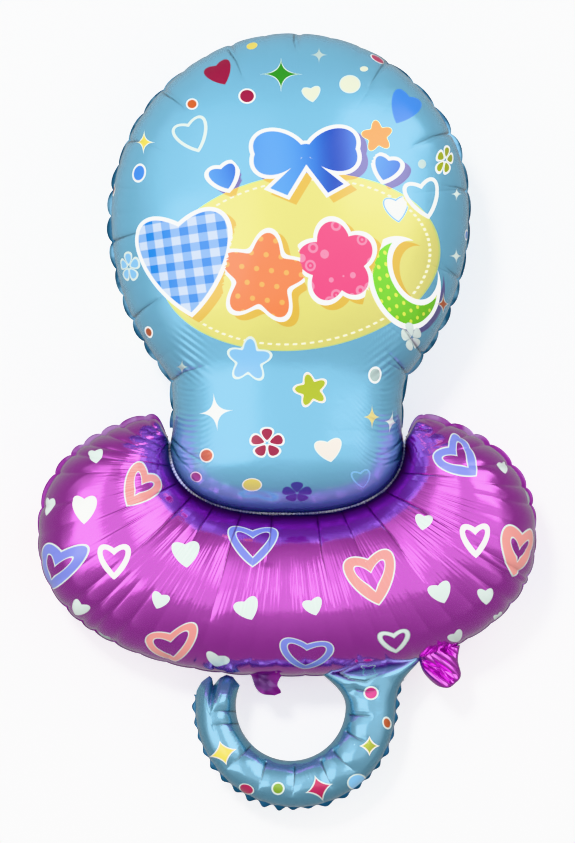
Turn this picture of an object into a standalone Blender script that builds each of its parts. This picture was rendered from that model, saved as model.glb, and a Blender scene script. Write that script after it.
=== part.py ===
"""A foil balloon shaped like a baby's pacifier, lying on its back.

Two foil sheets are sealed together round their outline and along one curved weld, so the whole balloon is
one sealed envelope: a round teat with a neck, a wide shield below the weld, and a ring-shaped handle. Every
shape is first worked out in the seam plane, with x to the right, y from the handle towards the teat and z
out of the front face. The finished envelope is then laid down on the bellies of the teat and the shield.
Sizes are in metres.
"""

import bmesh
import bpy
import numpy as np
from mathutils import Matrix

# Teat: a round bulb over a straight neck that ends in the weld, whose oval is centred on the origin
BULB_Y = 0.2598
BULB_RADIUS = 0.2100
BULB_RISE = 0.2125
BULB_DROP = 0.2480
BULB_CROWN = 0.1240
NECK_HALF_WIDTH = 0.1355
NECK_CROWN = 0.0900
NECK_BLEND = 0.0100
WELD_DEPTH = 0.0850
WELD_POWER = 2.5
FAN_SHARE = 0.49
TEAT_LEAN = 0.0133

# Shield: a wide oval that is cut away above by the teat
SHIELD_Y = -0.1132
SHIELD_HALF_WIDTH = 0.2885
SHIELD_LOWER_DEPTH = 0.1605
SHIELD_LOWER_POWER = 2.2
SHIELD_UPPER_DEPTH = 0.1600
SHIELD_UPPER_POWER = 2.5
SHIELD_CROWN = 0.0840
SHIELD_FULL_CHORD = 0.1700
LOBE_GAIN = 0.16
NOTCH_RISE = 0.0075
NOTCH_REACH = 0.0260
RIB_SWAY = 0.06

# Handle: two thirds of a ring whose end touches the shield's lower edge, and whose root runs into it
HANDLE_X = 0.0098
HANDLE_MEAN_RADIUS = 0.0905
HANDLE_HALF_WIDTH = 0.0280
HANDLE_CROWN = 0.0290
HANDLE_END_RISE = 24.0
HANDLE_ROOT_RISE = 42.0
ROOT_FLARE_ANGLE = 50.0
ROOT_INNER_X = 0.0250
ROOT_OUTER_X = 0.1560
ROOT_DEPTH = 0.0150
END_PINCH_ANGLE = 22.0

# Seam: the flat welded margin, gathered into scallops, and the folds that start at it
SEAM_MARGIN = 0.0050
WELD_MARGIN = 0.0035
TEAT_SEAM_THICKNESS = 0.0018
SHIELD_SEAM_THICKNESS = 0.0014
HANDLE_SEAM_THICKNESS = 0.0022
SCALLOP_PITCH = 0.0340
SCALLOP_DEPTH = 0.0040
HANDLE_SCALLOP_PITCH = 0.0220
HANDLE_SCALLOP_DEPTH = 0.0020
FOLD_DEPTH = 0.22
FOLD_REACH = 0.45

# Tails under the shield: a flat tab and the crumpled filling neck
TAB_X = -0.0230
TAB_WIDTH = 0.0330
TAB_LENGTH = 0.0230
TAB_ROOT = 0.0120
TAB_THICKNESS = 0.0026
FILLER_X = 0.1780
FILLER_HALF_SIZES = (0.0240, 0.0260, 0.0150)
FILLER_SUNK = 0.0110
FILLER_LUMP = 0.14

# Rest: how deep the bellies are pressed flat by the surface that the balloon lies on
PRESSED_FLAT = 0.0030
LEVELLING_ROUNDS = 20

# Mesh fineness: rings from the seam to the crown, and steps across the shield and the handle
TEAT_RINGS = 8
SHIELD_STEPS = 10
HANDLE_STEPS = 6
DENSE = 2000

BLUE = (0.19, 0.52, 0.72, 1.0)
MAGENTA = (0.43, 0.04, 0.46, 1.0)


def smooth_step(t):
    """0 below 0, 1 above 1, and a smooth S between."""
    t = np.clip(t, 0.0, 1.0)
    return t * t * (3.0 - 2.0 * t)


def smooth_max(a, b, blend):
    """The larger of a and b, with the corner rounded over the length blend."""
    return (a + b + np.sqrt((a - b) ** 2 + blend**2)) / 2.0


def superellipse(angle, width, height, power):
    """A rounded oval: |x/width|^power + |y/height|^power = 1, at these angles in radians."""
    c, s = np.cos(angle), np.sin(angle)
    x = width * np.sign(c) * np.abs(c) ** (2.0 / power)
    y = height * np.sign(s) * np.abs(s) ** (2.0 / power)
    return np.stack([x, y], axis=-1)


def along(points):
    """The distance travelled along a line of points, 0 at its first."""
    steps = np.linalg.norm(np.diff(points, axis=0), axis=1)
    return np.concatenate([[0.0], np.cumsum(steps)])


def read_at(points, where, at):
    """Points of a line at the given distances along it."""
    return np.stack([np.interp(at, where, points[:, k]) for k in range(points.shape[1])], axis=-1)


def scallop(distance, pitch):
    """0 at each fold of the gathered seam and 1 halfway between two folds."""
    f = np.mod(distance / pitch, 1.0)
    return 4.0 * f * (1.0 - f)


def teat_half_width(y):
    """Half the teat's width at height y: a half ellipse that runs out into the straight neck."""
    below = np.clip((BULB_Y - y) / BULB_DROP, 0.0, 1.0)
    return smooth_max(BULB_RADIUS * np.sqrt(1.0 - below**2), NECK_HALF_WIDTH, NECK_BLEND)


def teat_height(x, y):
    """Height of the teat's front over the seam plane: a dome over the bulb, an arch along the neck and a
    rounded end at the weld, each falling to nothing at the outline."""
    below = np.clip((BULB_Y - y) / BULB_DROP, 0.0, 1.0)
    crown = smooth_max(BULB_CROWN * np.sqrt(1.0 - below**2), NECK_CROWN, NECK_BLEND)
    power = 2.0 + (WELD_POWER - 2.0) * smooth_step(below)
    up = np.clip((y - BULB_Y) / BULB_RISE, 0.0, 1.0)
    down = np.clip(-y / WELD_DEPTH, 0.0, 1.0)
    used = np.abs(x / teat_half_width(y)) ** power + up**2 + down**WELD_POWER
    return crown * np.sqrt(np.clip(1.0 - used, 0.0, 1.0))


def leaned(points):
    """The points sheared sideways with their height, as the teat leans on the shield."""
    return points + TEAT_LEAN * points[..., 1:2] * np.array([1.0, 0.0])


def teat_outline():
    """The right half of the teat's outline from the weld's middle to the bulb's top, and for each point the
    centre that its rib starts from, which slides up the neck into the bulb's centre."""
    turn = np.linspace(-np.pi / 2, 0.0, DENSE)
    weld = superellipse(turn, teat_half_width(0.0), WELD_DEPTH, WELD_POWER)
    rise = np.linspace(0.0, BULB_Y, DENSE)[1:-1]
    flank = np.stack([teat_half_width(rise), rise], axis=-1)
    turn = np.linspace(0.0, np.pi / 2, DENSE)
    top = superellipse(turn, teat_half_width(BULB_Y), BULB_RISE, 2.0) + [0.0, BULB_Y]
    points = np.concatenate([weld, flank, top])
    fan_y = BULB_Y - FAN_SHARE * BULB_DROP
    centre_y = BULB_Y * (1.0 - smooth_step((fan_y - points[:, 1]) / fan_y))
    return points, centre_y


def weld_line():
    """The weld from the left end of the neck round its lower end to the right one."""
    turn = np.linspace(-np.pi, 0.0, DENSE)
    return superellipse(turn, teat_half_width(0.0), WELD_DEPTH, WELD_POWER)


def shield_outline():
    """The shield's outer edge from the left notch round below to the right one: two half ovals, pulled in
    at both ends to the notches beside the neck."""
    notch_x = teat_half_width(NOTCH_RISE)
    start = np.arccos((notch_x / SHIELD_HALF_WIDTH) ** (SHIELD_UPPER_POWER / 2.0))
    left = superellipse(
        np.linspace(np.pi - start, np.pi, DENSE), SHIELD_HALF_WIDTH, SHIELD_UPPER_DEPTH, SHIELD_UPPER_POWER
    )
    below = superellipse(
        np.linspace(np.pi, 2 * np.pi, DENSE), SHIELD_HALF_WIDTH, SHIELD_LOWER_DEPTH, SHIELD_LOWER_POWER
    )
    right = left[::-1] * [-1.0, 1.0]
    points = np.concatenate([left, below[1:-1], right]) + [0.0, SHIELD_Y]
    where = along(points)
    for side, end, distance in ((-1.0, points[0], where), (1.0, points[-1], where[-1] - where)):
        pull = np.array([side * notch_x, NOTCH_RISE]) - end
        points = points + np.exp(-((distance / NOTCH_REACH) ** 2))[:, None] * pull
    return points


def shield_foot(x):
    """The height of the shield's lower edge at x."""
    used = np.abs(x / SHIELD_HALF_WIDTH) ** SHIELD_LOWER_POWER
    return SHIELD_Y - SHIELD_LOWER_DEPTH * (1.0 - used) ** (1.0 / SHIELD_LOWER_POWER)


def sheet_solid(name, front, back, closed, material):
    """A closed mesh from two grids of points that share no vertex: the front one, the back one, and a wall
    between their borders. The grids run round or along the shape first, then from border to border. A closed
    grid joins its last column to its first, and its last row is a pole."""
    columns, rows = front.shape[:2]
    count = columns * rows
    points = np.concatenate([front.reshape(-1, 3), back.reshape(-1, 3)])
    index = np.arange(count).reshape(columns, rows)
    if closed:
        index = np.concatenate([index, index[:1]])
    a, b = index[:-1, :-1].ravel(), index[1:, :-1].ravel()
    c, d = index[1:, 1:].ravel(), index[:-1, 1:].ravel()
    quads = np.stack([a, b, c, d], axis=-1)
    faces = [*quads.tolist(), *(quads[:, ::-1] + count).tolist()]
    borders = [index[:, 0]]
    if not closed:
        borders = [index[:, 0], index[-1, :], index[::-1, -1], index[0, ::-1]]
    for border in borders:
        for p, q in zip(border[:-1], border[1:]):
            faces.append([q, p, p + count, q + count])
    mesh = bpy.data.meshes.new(name)
    mesh.from_pydata(points.tolist(), [], faces)
    bm = bmesh.new()
    bm.from_mesh(mesh)
    bmesh.ops.remove_doubles(bm, verts=bm.verts, dist=0.00005)
    bmesh.ops.dissolve_degenerate(bm, dist=0.00005, edges=bm.edges)
    bmesh.ops.recalc_face_normals(bm, faces=bm.faces)
    bm.to_mesh(mesh)
    bm.free()
    mesh.materials.append(material)
    return mesh


def folded(height, depth, reached):
    """The height with its gathers pressed in: deepest at a fold by the seam, gone further in."""
    return height * (1.0 - FOLD_DEPTH * depth * (1.0 - smooth_step(reached / FOLD_REACH)))


def teat_mesh(material):
    """The teat as rings from its seam to its ribs' centres, front and back alike."""
    half, centre_y = teat_outline()
    whole = np.concatenate([half, half[-2::-1] * [-1.0, 1.0]])
    centres = np.concatenate([centre_y, centre_y[-2::-1]])
    where = along(whole)
    folds = round(where[-1] / SCALLOP_PITCH)
    at = np.linspace(0.0, where[-1], 2 * folds, endpoint=False)
    outline = read_at(whole, where, at)
    centre = np.stack([np.zeros(len(at)), np.interp(at, where, centres)], axis=-1)
    gathered = scallop(at, where[-1] / folds)
    at_weld = 1.0 - smooth_step(outline[:, 1] / NOTCH_RISE)
    rib = outline - centre
    length = np.linalg.norm(rib, axis=1)
    margin = (SEAM_MARGIN + (WELD_MARGIN - SEAM_MARGIN) * at_weld) / length
    drawn_in = SCALLOP_DEPTH * (1.0 - gathered) * (1.0 - at_weld) / length
    ring = np.cos(np.linspace(0.0, np.pi / 2, TEAT_RINGS + 1))[None, :]
    body = centre[:, None, :] + rib[:, None, :] * ring[..., None]
    height = teat_height(body[..., 0], body[..., 1])
    height = folded(height, 1.0 - gathered[:, None], 1.0 - ring)
    height = np.concatenate([np.zeros((len(at), 1)), height], axis=1) + TEAT_SEAM_THICKNESS / 2
    share = np.concatenate([1.0 - drawn_in[:, None], ring * (1.0 - margin)[:, None]], axis=1)
    flat = centre[:, None, :] + rib[:, None, :] * share[..., None]
    front = np.concatenate([leaned(flat), height[..., None]], axis=-1)
    return sheet_solid("teat", front, front * [1.0, 1.0, -1.0], True, material)


def shield_mesh(material):
    """The shield as arches that stand between the weld and the outer edge, in pairs of points that run
    from one notch to the other."""
    outer, weld = shield_outline(), weld_line()
    outer_at, weld_at = along(outer), along(weld)
    folds = round(outer_at[-1] / SCALLOP_PITCH)
    t = np.linspace(0.0, 1.0, 2 * folds + 1)
    edge = read_at(outer, outer_at, t * outer_at[-1])
    paired = t - RIB_SWAY * np.sin(2.0 * np.pi * t)
    root = leaned(read_at(weld, weld_at, paired * weld_at[-1]))
    gathered = scallop(t * outer_at[-1], outer_at[-1] / folds)
    chord = edge - root
    length = np.linalg.norm(chord, axis=1)
    crown = SHIELD_CROWN * np.sin(np.clip(length / SHIELD_FULL_CHORD, 0.0, 1.0) * np.pi / 2)
    crown = crown * (1.0 + LOBE_GAIN * (2.0 * t - 1.0) ** 2)
    turn = np.linspace(0.0, np.pi, SHIELD_STEPS + 1)
    v = (1.0 - np.cos(turn)) / 2.0
    short = np.clip(length / (4.0 * SEAM_MARGIN), 0.0, 1.0)
    inner = (WELD_MARGIN * short / length)[:, None]
    outward = (SEAM_MARGIN * short / length)[:, None]
    share = inner + (1.0 - inner - outward) * v[None, :]
    end = 1.0 + (SCALLOP_DEPTH * short * (gathered - 1.0) / length)[:, None]
    share = np.concatenate([-inner, share, end], axis=1)
    flat = root[:, None, :] + chord[:, None, :] * share[..., None]
    height = crown[:, None] * np.sin(turn)[None, :]
    near = np.minimum(v, 1.0 - v)[None, :]
    height = folded(height, 1.0 - gathered[:, None], 2.0 * near)
    rim = np.zeros((len(t), 1))
    height = np.concatenate([rim, height, rim], axis=1) + SHIELD_SEAM_THICKNESS / 2
    front = np.concatenate([flat, height[..., None]], axis=-1)
    return sheet_solid("shield", front, front * [1.0, 1.0, -1.0], False, material)


def handle_rails(angle):
    """The handle's inner and outer edges at these angles round the ring: two circles, pulled apart towards
    the root so that they run into the shield over its own width."""
    centre = np.array([HANDLE_X, shield_foot(0.0) - HANDLE_MEAN_RADIUS * np.sin(np.radians(HANDLE_END_RISE))])
    ray = np.stack([np.cos(angle), np.sin(angle)], axis=-1)
    root_angle = np.radians(HANDLE_ROOT_RISE)
    flare = smooth_step((angle - root_angle) / np.radians(ROOT_FLARE_ANGLE) + 1.0)
    rails = []
    for radius, root_x in (
        (HANDLE_MEAN_RADIUS - HANDLE_HALF_WIDTH, ROOT_INNER_X),
        (HANDLE_MEAN_RADIUS + HANDLE_HALF_WIDTH, ROOT_OUTER_X),
    ):
        plain_end = centre + radius * np.array([np.cos(root_angle), np.sin(root_angle)])
        pull = np.array([root_x, shield_foot(root_x) + ROOT_DEPTH]) - plain_end
        rails.append(centre + radius * ray + flare[:, None] ** 2 * pull)
    return rails


def handle_mesh(material):
    """The handle as arches across a ring, flared where it leaves the shield and pinched flat at its end."""
    start, end = np.radians(HANDLE_ROOT_RISE), np.radians(-180.0 - HANDLE_END_RISE)
    outer_length = (start - end) * (HANDLE_MEAN_RADIUS + HANDLE_HALF_WIDTH)
    folds = round(outer_length / HANDLE_SCALLOP_PITCH)
    angle = np.linspace(start, end, 2 * folds + 1)
    gathered = scallop(start - angle, (start - end) / folds)
    inner, outer = handle_rails(angle)
    across = outer - inner
    width = np.linalg.norm(across, axis=1)[:, None]
    left = np.degrees(angle - end) / END_PINCH_ANGLE
    crown = HANDLE_CROWN * np.sqrt(smooth_step(left))
    turn = np.linspace(0.0, np.pi, HANDLE_STEPS + 1)
    margin = SEAM_MARGIN / width
    share = margin + (1.0 - 2.0 * margin) * (1.0 - np.cos(turn))[None, :] / 2.0
    outer_end = 1.0 - HANDLE_SCALLOP_DEPTH * (1.0 - gathered)[:, None] / width
    share = np.concatenate([np.zeros_like(width), share, outer_end], axis=1)
    flat = inner[:, None, :] + across[:, None, :] * share[..., None]
    height = crown[:, None] * np.sin(turn)[None, :]
    height = folded(height, 1.0 - gathered[:, None], np.sin(turn)[None, :])
    rim = np.zeros_like(width)
    height = np.concatenate([rim, height, rim], axis=1) + HANDLE_SEAM_THICKNESS / 2
    front = np.concatenate([flat, height[..., None]], axis=-1)
    return sheet_solid("handle", front, front * [1.0, 1.0, -1.0], False, material)


def placed(mesh, collection, name):
    """The mesh as an object of the collection."""
    obj = bpy.data.objects.new(name, mesh)
    collection.objects.link(obj)
    return obj


def tab_mesh(material):
    """The flat tab: a thin box with its lower corners drawn in."""
    mesh = bpy.data.meshes.new("tab")
    bm = bmesh.new()
    bmesh.ops.create_cube(bm, size=1.0)
    length = TAB_LENGTH + TAB_ROOT
    foot = shield_foot(TAB_X) - TAB_LENGTH
    for v in bm.verts:
        narrow = 1.0 if v.co.y > 0 else 0.72
        v.co.x = TAB_X + v.co.x * TAB_WIDTH * narrow
        v.co.y = foot + (v.co.y + 0.5) * length
        v.co.z *= TAB_THICKNESS
    bm.to_mesh(mesh)
    bm.free()
    mesh.materials.append(material)
    return mesh


def filler_mesh(material):
    """The filling neck: a small ball squeezed into lobes by a sum of three waves over its surface."""
    mesh = bpy.data.meshes.new("filler")
    bm = bmesh.new()
    bmesh.ops.create_uvsphere(bm, u_segments=18, v_segments=10, radius=1.0)
    centre_y = shield_foot(FILLER_X) + FILLER_SUNK - FILLER_HALF_SIZES[1]
    for v in bm.verts:
        x, y, z = v.co
        wave = np.sin(5.0 * x + 2.0 * z) + np.sin(6.0 * y - 3.0 * x) + np.sin(4.0 * z + 5.0 * y)
        v.co *= 1.0 + FILLER_LUMP * wave / 2.0
        v.co.x = FILLER_X + v.co.x * FILLER_HALF_SIZES[0]
        v.co.y = centre_y + v.co.y * FILLER_HALF_SIZES[1]
        v.co.z *= FILLER_HALF_SIZES[2]
    bm.to_mesh(mesh)
    bm.free()
    mesh.materials.append(material)
    return mesh


def foil(name, colour):
    """A metallised foil material in one colour."""
    material = bpy.data.materials.new(name)
    material.use_nodes = True
    shader = material.node_tree.nodes["Principled BSDF"]
    shader.inputs["Base Color"].default_value = colour
    shader.inputs["Metallic"].default_value = 0.85
    shader.inputs["Roughness"].default_value = 0.25
    material.diffuse_color = colour
    return material


def apply_boolean(obj, other, operation):
    """Joins or cuts obj with the other object, and removes the other one."""
    modifier = obj.modifiers.new(other.name, "BOOLEAN")
    modifier.operation = operation
    modifier.solver = "EXACT"
    modifier.object = other
    graph = bpy.context.evaluated_depsgraph_get()
    mesh = bpy.data.meshes.new_from_object(obj.evaluated_get(graph))
    obj.modifiers.clear()
    obj.data = mesh
    bpy.data.objects.remove(other)


def lay_down(obj):
    """Turns the seam plane so that the bellies of teat and shield touch one level surface, presses them
    flat against it and puts the origin under the middle of the box."""
    points = np.array([v.co[:] for v in obj.data.vertices])
    teat = points[points[:, 1] > BULB_Y / 2]
    shield = points[(points[:, 1] < 0.0) & (np.abs(points[:, 0]) > NECK_HALF_WIDTH)]
    slope = 0.0
    for _ in range(LEVELLING_ROUNDS):
        lowest_teat = teat[np.argmin(teat[:, 2] + slope * teat[:, 1])]
        lowest_shield = shield[np.argmin(shield[:, 2] + slope * shield[:, 1])]
        slope = (lowest_shield[2] - lowest_teat[2]) / (lowest_teat[1] - lowest_shield[1])
    obj.data.transform(Matrix.Rotation(np.arctan(slope), 4, "X"))
    points = np.array([v.co[:] for v in obj.data.vertices])
    middle = (points.min(axis=0) + points.max(axis=0)) / 2
    lowest = points[:, 2].min() + PRESSED_FLAT
    obj.data.transform(Matrix.Translation((-middle[0], -middle[1], -lowest)))
    print(f"seam plane raised {np.degrees(np.arctan(slope)):.3f} degrees, moved by {-middle[0]:.5f},"
          f" {-middle[1]:.5f}, {-lowest:.5f}")


def floor_cutter(collection):
    """A slab below the level surface, a good deal larger than the balloon."""
    mesh = bpy.data.meshes.new("floor_cutter")
    bm = bmesh.new()
    bmesh.ops.create_cube(bm, size=2.0)
    bmesh.ops.translate(bm, verts=bm.verts, vec=(0.0, 0.0, -1.0))
    bm.to_mesh(mesh)
    bm.free()
    cutter = placed(mesh, collection, "floor_cutter")
    cutter.hide_render = True
    cutter.display_type = "WIRE"
    return cutter


def main():
    for obj in list(bpy.data.objects):
        bpy.data.objects.remove(obj)
    parts = bpy.data.collections.new("pacifier foil balloon")
    cutters = bpy.data.collections.new("cutters")
    bpy.context.scene.collection.children.link(parts)
    bpy.context.scene.collection.children.link(cutters)
    blue, magenta = foil("blue foil", BLUE), foil("magenta foil", MAGENTA)

    envelope = placed(teat_mesh(blue), parts, "foil_envelope")
    for mesh in (shield_mesh(magenta), handle_mesh(blue), tab_mesh(magenta), filler_mesh(magenta)):
        apply_boolean(envelope, placed(mesh, parts, mesh.name), "UNION")
    lay_down(envelope)
    apply_boolean(envelope, floor_cutter(cutters), "DIFFERENCE")
    envelope.data.shade_smooth()
    envelope.data.set_sharp_from_angle(angle=np.radians(40))


main()
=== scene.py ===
"""Looks of a foil balloon shaped like a baby's pacifier, which lies on its back under the camera.

The balloon is two sheets of metallised film, sealed together round their outline and along one curved weld
between the teat and the shield. Every piece is worked out in the seam plane's own frame, with x to the right,
y from the handle to the teat and z out of the printed front, and is then set into the row frame. Lengths are
metres. A place that was read off the photo is in its pixels, and PIXEL is the real size of one of them.
"""

import math
from collections import namedtuple
from functools import partialmethod

import bpy
import numpy as np
from mathutils import Matrix, Vector


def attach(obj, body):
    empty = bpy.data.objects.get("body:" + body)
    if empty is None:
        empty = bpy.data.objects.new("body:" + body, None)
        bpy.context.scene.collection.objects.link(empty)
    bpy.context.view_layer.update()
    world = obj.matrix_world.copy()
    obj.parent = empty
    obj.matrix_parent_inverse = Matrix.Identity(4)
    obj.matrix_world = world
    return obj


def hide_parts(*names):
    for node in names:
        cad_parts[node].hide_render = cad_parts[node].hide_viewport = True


bl_info = {
    "name": "Pacifier foil balloon",
    "version": (1, 0, 0),
    "blender": (4, 5, 0),
    "location": "3D View > Sidebar > Balloon",
    "description": "Dresses the frame of a pacifier-shaped foil balloon with film, print, folds and seams",
    "category": "Object",
}

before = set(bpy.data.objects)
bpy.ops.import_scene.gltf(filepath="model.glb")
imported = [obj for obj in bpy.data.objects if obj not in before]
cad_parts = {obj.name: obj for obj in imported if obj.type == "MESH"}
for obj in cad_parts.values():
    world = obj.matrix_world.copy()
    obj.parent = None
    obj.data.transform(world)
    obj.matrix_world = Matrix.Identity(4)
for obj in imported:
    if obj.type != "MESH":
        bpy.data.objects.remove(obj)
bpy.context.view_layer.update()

# Seam plane: how the frame holds it, and the photo's scale on it
SEAM_TILT = math.radians(5.764)
SEAM_MOVE = np.array([0.0, -0.02155, 0.09921])
PIXEL = 0.001155
PHOTO_ORIGIN = np.array([287.0, 440.0])
IMAGE_SIZE = np.array([575.0, 843.0])
LENS = 135.0
SENSOR = 36.0
VIEW_DISTANCE = IMAGE_SIZE[1] * PIXEL * LENS / SENSOR

# Teat, as in the frame: a round bulb over a straight neck that ends in the weld
BULB_Y = 0.2598
BULB_RADIUS = 0.2100
BULB_RISE = 0.2125
BULB_DROP = 0.2480
BULB_CROWN = 0.1240
NECK_HALF_WIDTH = 0.1355
NECK_CROWN = 0.0900
NECK_BLEND = 0.0100
WELD_DEPTH = 0.0850
WELD_POWER = 2.5
FAN_SHARE = 0.49
TEAT_LEAN = 0.0133
TEAT_LIP = 0.0026
TEAT_SIDE_LIP = 0.0012
TEAT_PRESS = 0.10

# Shield, as in the frame: a wide oval that is cut away above by the teat
SHIELD_Y = -0.1132
SHIELD_HALF_WIDTH = 0.2885
SHIELD_LOWER_DEPTH = 0.1605
SHIELD_LOWER_POWER = 2.2
SHIELD_UPPER_DEPTH = 0.1600
SHIELD_UPPER_POWER = 2.5
SHIELD_CROWN = 0.0840
SHIELD_FULL_CHORD = 0.1700
LOBE_GAIN = 0.16
NOTCH_RISE = 0.0075
NOTCH_REACH = 0.0125
RIB_SWAY = 0.06
SHIELD_LIP = 0.0018
SHIELD_LOBE_LIP = 0.0026
SHIELD_PRESS = 0.12

# Handle, as in the frame: two thirds of a ring
HANDLE_X = 0.0098
HANDLE_MEAN_RADIUS = 0.0905
HANDLE_HALF_WIDTH = 0.0280
HANDLE_CROWN = 0.0290
HANDLE_END_RISE = 24.0
HANDLE_ROOT_RISE = 42.0
ROOT_FLARE_ANGLE = 50.0
ROOT_INNER_X = 0.0250
ROOT_OUTER_X = 0.1560
ROOT_DEPTH = 0.0150
END_PINCH_ANGLE = 22.0
INNER_SHIFT = np.array([-0.0055, 0.0035])
OUTER_SHIFT = np.array([0.0, 0.0023])
HANDLE_INNER_LIP = 0.0008
HANDLE_LIPS = 0.0036

# Seams: how far apart the film gathers, their scallops, and the weld's beads
GATHER_PITCH = 0.0330
SCALLOP_PITCH = 0.0190
SCALLOP_HEIGHT = 0.0060
WELD_PITCH = 0.0038
WELD_LIFT = 0.0034
WELD_BEADS = 0.50

# Depth of the filling neck, and of the crushed film on it and beside the notches
FILLER_HALF_DEPTH = 0.0150
FILLER_CRUSH = 0.0036
NOTCH_CRUSH = 0.0040

# Mesh fineness: columns along each outline and rows from it to the middle
TEAT_COLUMNS = 1040
TEAT_ROWS = 84
SHIELD_COLUMNS = 860
SHIELD_ROWS = 104
HANDLE_COLUMNS = 640
HANDLE_ROWS = 52
BACK_ROWS = 24
MARGIN_COLUMNS = 1300
HANDLE_MARGIN_COLUMNS = 900
WELD_COLUMNS = 1200
TAB_ROWS = 90
FILLER_ROWS = 150
DENSE = 4000
SAME_POINT = 0.000002

# Where the teat's columns crowd together, at its creases and at the neck: half width, and how much denser
CREASE_CROWD = (0.0045, 2.2)
NECK_CROWD = (0.0550, 1.6)

# Creases in the film, each a route of photo pixels from its deep end to where it dies out
TEAT_CREASES = (
    ((294, 35), (294, 42), (296, 51)),
    ((228, 50), (236, 61), (243, 78)),
    ((163, 93), (173, 99), (186, 109)),
    ((129, 142), (136, 141), (147, 142)),
    ((385, 61), (376, 75), (368, 88)),
    ((450, 132), (433, 136), (413, 146)),
    ((468, 191), (457, 187), (442, 185)),
    ((111, 242), (126, 236), (147, 230)),
    ((130, 321), (143, 309), (158, 299)),
    ((167, 383), (184, 372), (205, 366)),
    ((409, 376), (397, 362), (384, 349)),
    ((421, 353), (407, 333), (395, 317)),
    ((470, 284), (455, 275), (440, 262)),
)
NECK_CREASES = (
    ((170, 437), (184, 450), (205, 463)),
    ((169, 441), (179, 459), (191, 470)),
    ((404, 437), (393, 449), (377, 457)),
    ((405, 444), (398, 459), (383, 466)),
)
SHIELD_CREASES = (
    ((191, 497), (160, 529), (126, 561)),
    ((241, 515), (231, 541), (221, 580), (209, 622)),
    ((168, 466), (155, 464), (140, 461)),
    ((317, 516), (322, 556), (333, 608)),
    ((362, 500), (391, 535), (428, 586)),
    ((384, 491), (422, 510), (465, 540)),
    ((402, 473), (425, 475), (455, 476)),
    ((272, 517), (270, 540), (266, 566)),
    ((176, 484), (160, 492), (143, 501)),
    ((341, 510), (350, 530), (362, 556)),
    ((213, 508), (200, 527), (188, 548)),
)
HANDLE_CREASES = (
    ((236, 712), (223, 711), (210, 713)),
    ((238, 724), (225, 724), (211, 727)),
    ((250, 747), (238, 759), (227, 769)),
    ((266, 763), (262, 777), (258, 790)),
    ((295, 767), (294, 781), (292, 797)),
    ((321, 762), (326, 775), (333, 789)),
    ((334, 752), (344, 763), (356, 772)),
    ((347, 732), (358, 739), (369, 744)),
    ((350, 715), (361, 716), (373, 717)),
    ((356, 690), (368, 692), (380, 690)),
)
ROOT_FOLD = ((334, 670), (349, 679), (366, 682), (382, 672))
END_PINCH = ((213, 683), (214, 692), (216, 703))

# How each zone is creased: the creases' depth in terms of crease_depth, and the depth and the half width in
# pixels of the trough round each
TEAT_TROUGH = (1.0, 0.0009, 5.5)
SHIELD_TROUGH = (1.2, 0.0028, 9.0)
HANDLE_TROUGH = (0.9, 0.0030, 6.0)

# Soft waves all over the film of each zone: height, pitches in pixels and seed
TEAT_WAVES = (0.0003, (47.0, 60.0, 83.0, 110.0), 11)
SHIELD_WAVES = (0.0005, (52.0, 71.0, 95.0, 130.0), 41)
HANDLE_WAVES = (0.0003, (23.0, 31.0, 44.0), 51)
TAB_WAVES = (0.0014, (9.0, 14.0, 19.0), 61)

# Wrinkles of the neck and of the shoulders above it: how far from the middle, and their pitches, in pixels
WRINKLE_X = 96.0
WRINKLE_PITCH = 5.3
SHOULDER_X = 98.0
SHOULDER_PITCH = 7.5

# Edges of the two tails, from the shield down, left one first
TAB_EDGES = (
    ((248, 664), (248, 670), (251.5, 676), (256, 688), (263, 694), (275, 695.5)),
    ((286, 664), (286, 670), (280, 678), (277.5, 684.6), (280.5, 690), (281, 693)),
)
NECK_EDGES = (
    ((417, 650), (420.6, 666), (424.5, 674), (431.6, 681.5), (437, 685.5), (442, 687.5)),
    ((460, 645), (458, 660), (461, 675), (455, 683.5), (449, 687), (444, 687.8)),
)

# How far the ring's free end stops short of the level line, by distance from the ring's middle in pixels
END_RADII = (54.0, 66.0, 74.0, 80.0, 84.0, 88.0, 92.0, 99.0, 104.0)
END_RISES = (22.0, 26.5, 25.5, 21.0, 14.5, 19.0, 20.0, 15.0, 7.0)

# Gathers of the shield's lobes, at these pixels of their seam
LOBE_GATHERS = (
    (146, 419), (120, 427), (101, 434), (84, 445), (71, 455), (54, 473), (42, 508),
    (62, 611), (78, 626), (91, 636), (112, 647),
    (452, 421), (476, 430), (491, 443), (511, 466), (527, 487), (533, 505),
    (531, 578), (524, 585), (512, 605),
)

# Patches of the shield with the strongest ribs: middle and half sizes in pixels, and strength
RIBBED = (
    (176.0, 562.0, 30.0, 36.0, 1.4), (432.0, 532.0, 30.0, 38.0, 1.1), (132.0, 482.0, 22.0, 40.0, 2.0),
    (448.0, 492.0, 18.0, 20.0, 0.9), (282.0, 588.0, 54.0, 28.0, 1.0), (362.0, 560.0, 24.0, 30.0, 0.8),
)

# Patches beside the notches where the film is crushed into facets, given in the same way
CRUSHED = ((161.0, 438.0, 11.0, 13.0, 1.0), (418.0, 424.0, 13.0, 9.0, 1.0))

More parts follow.
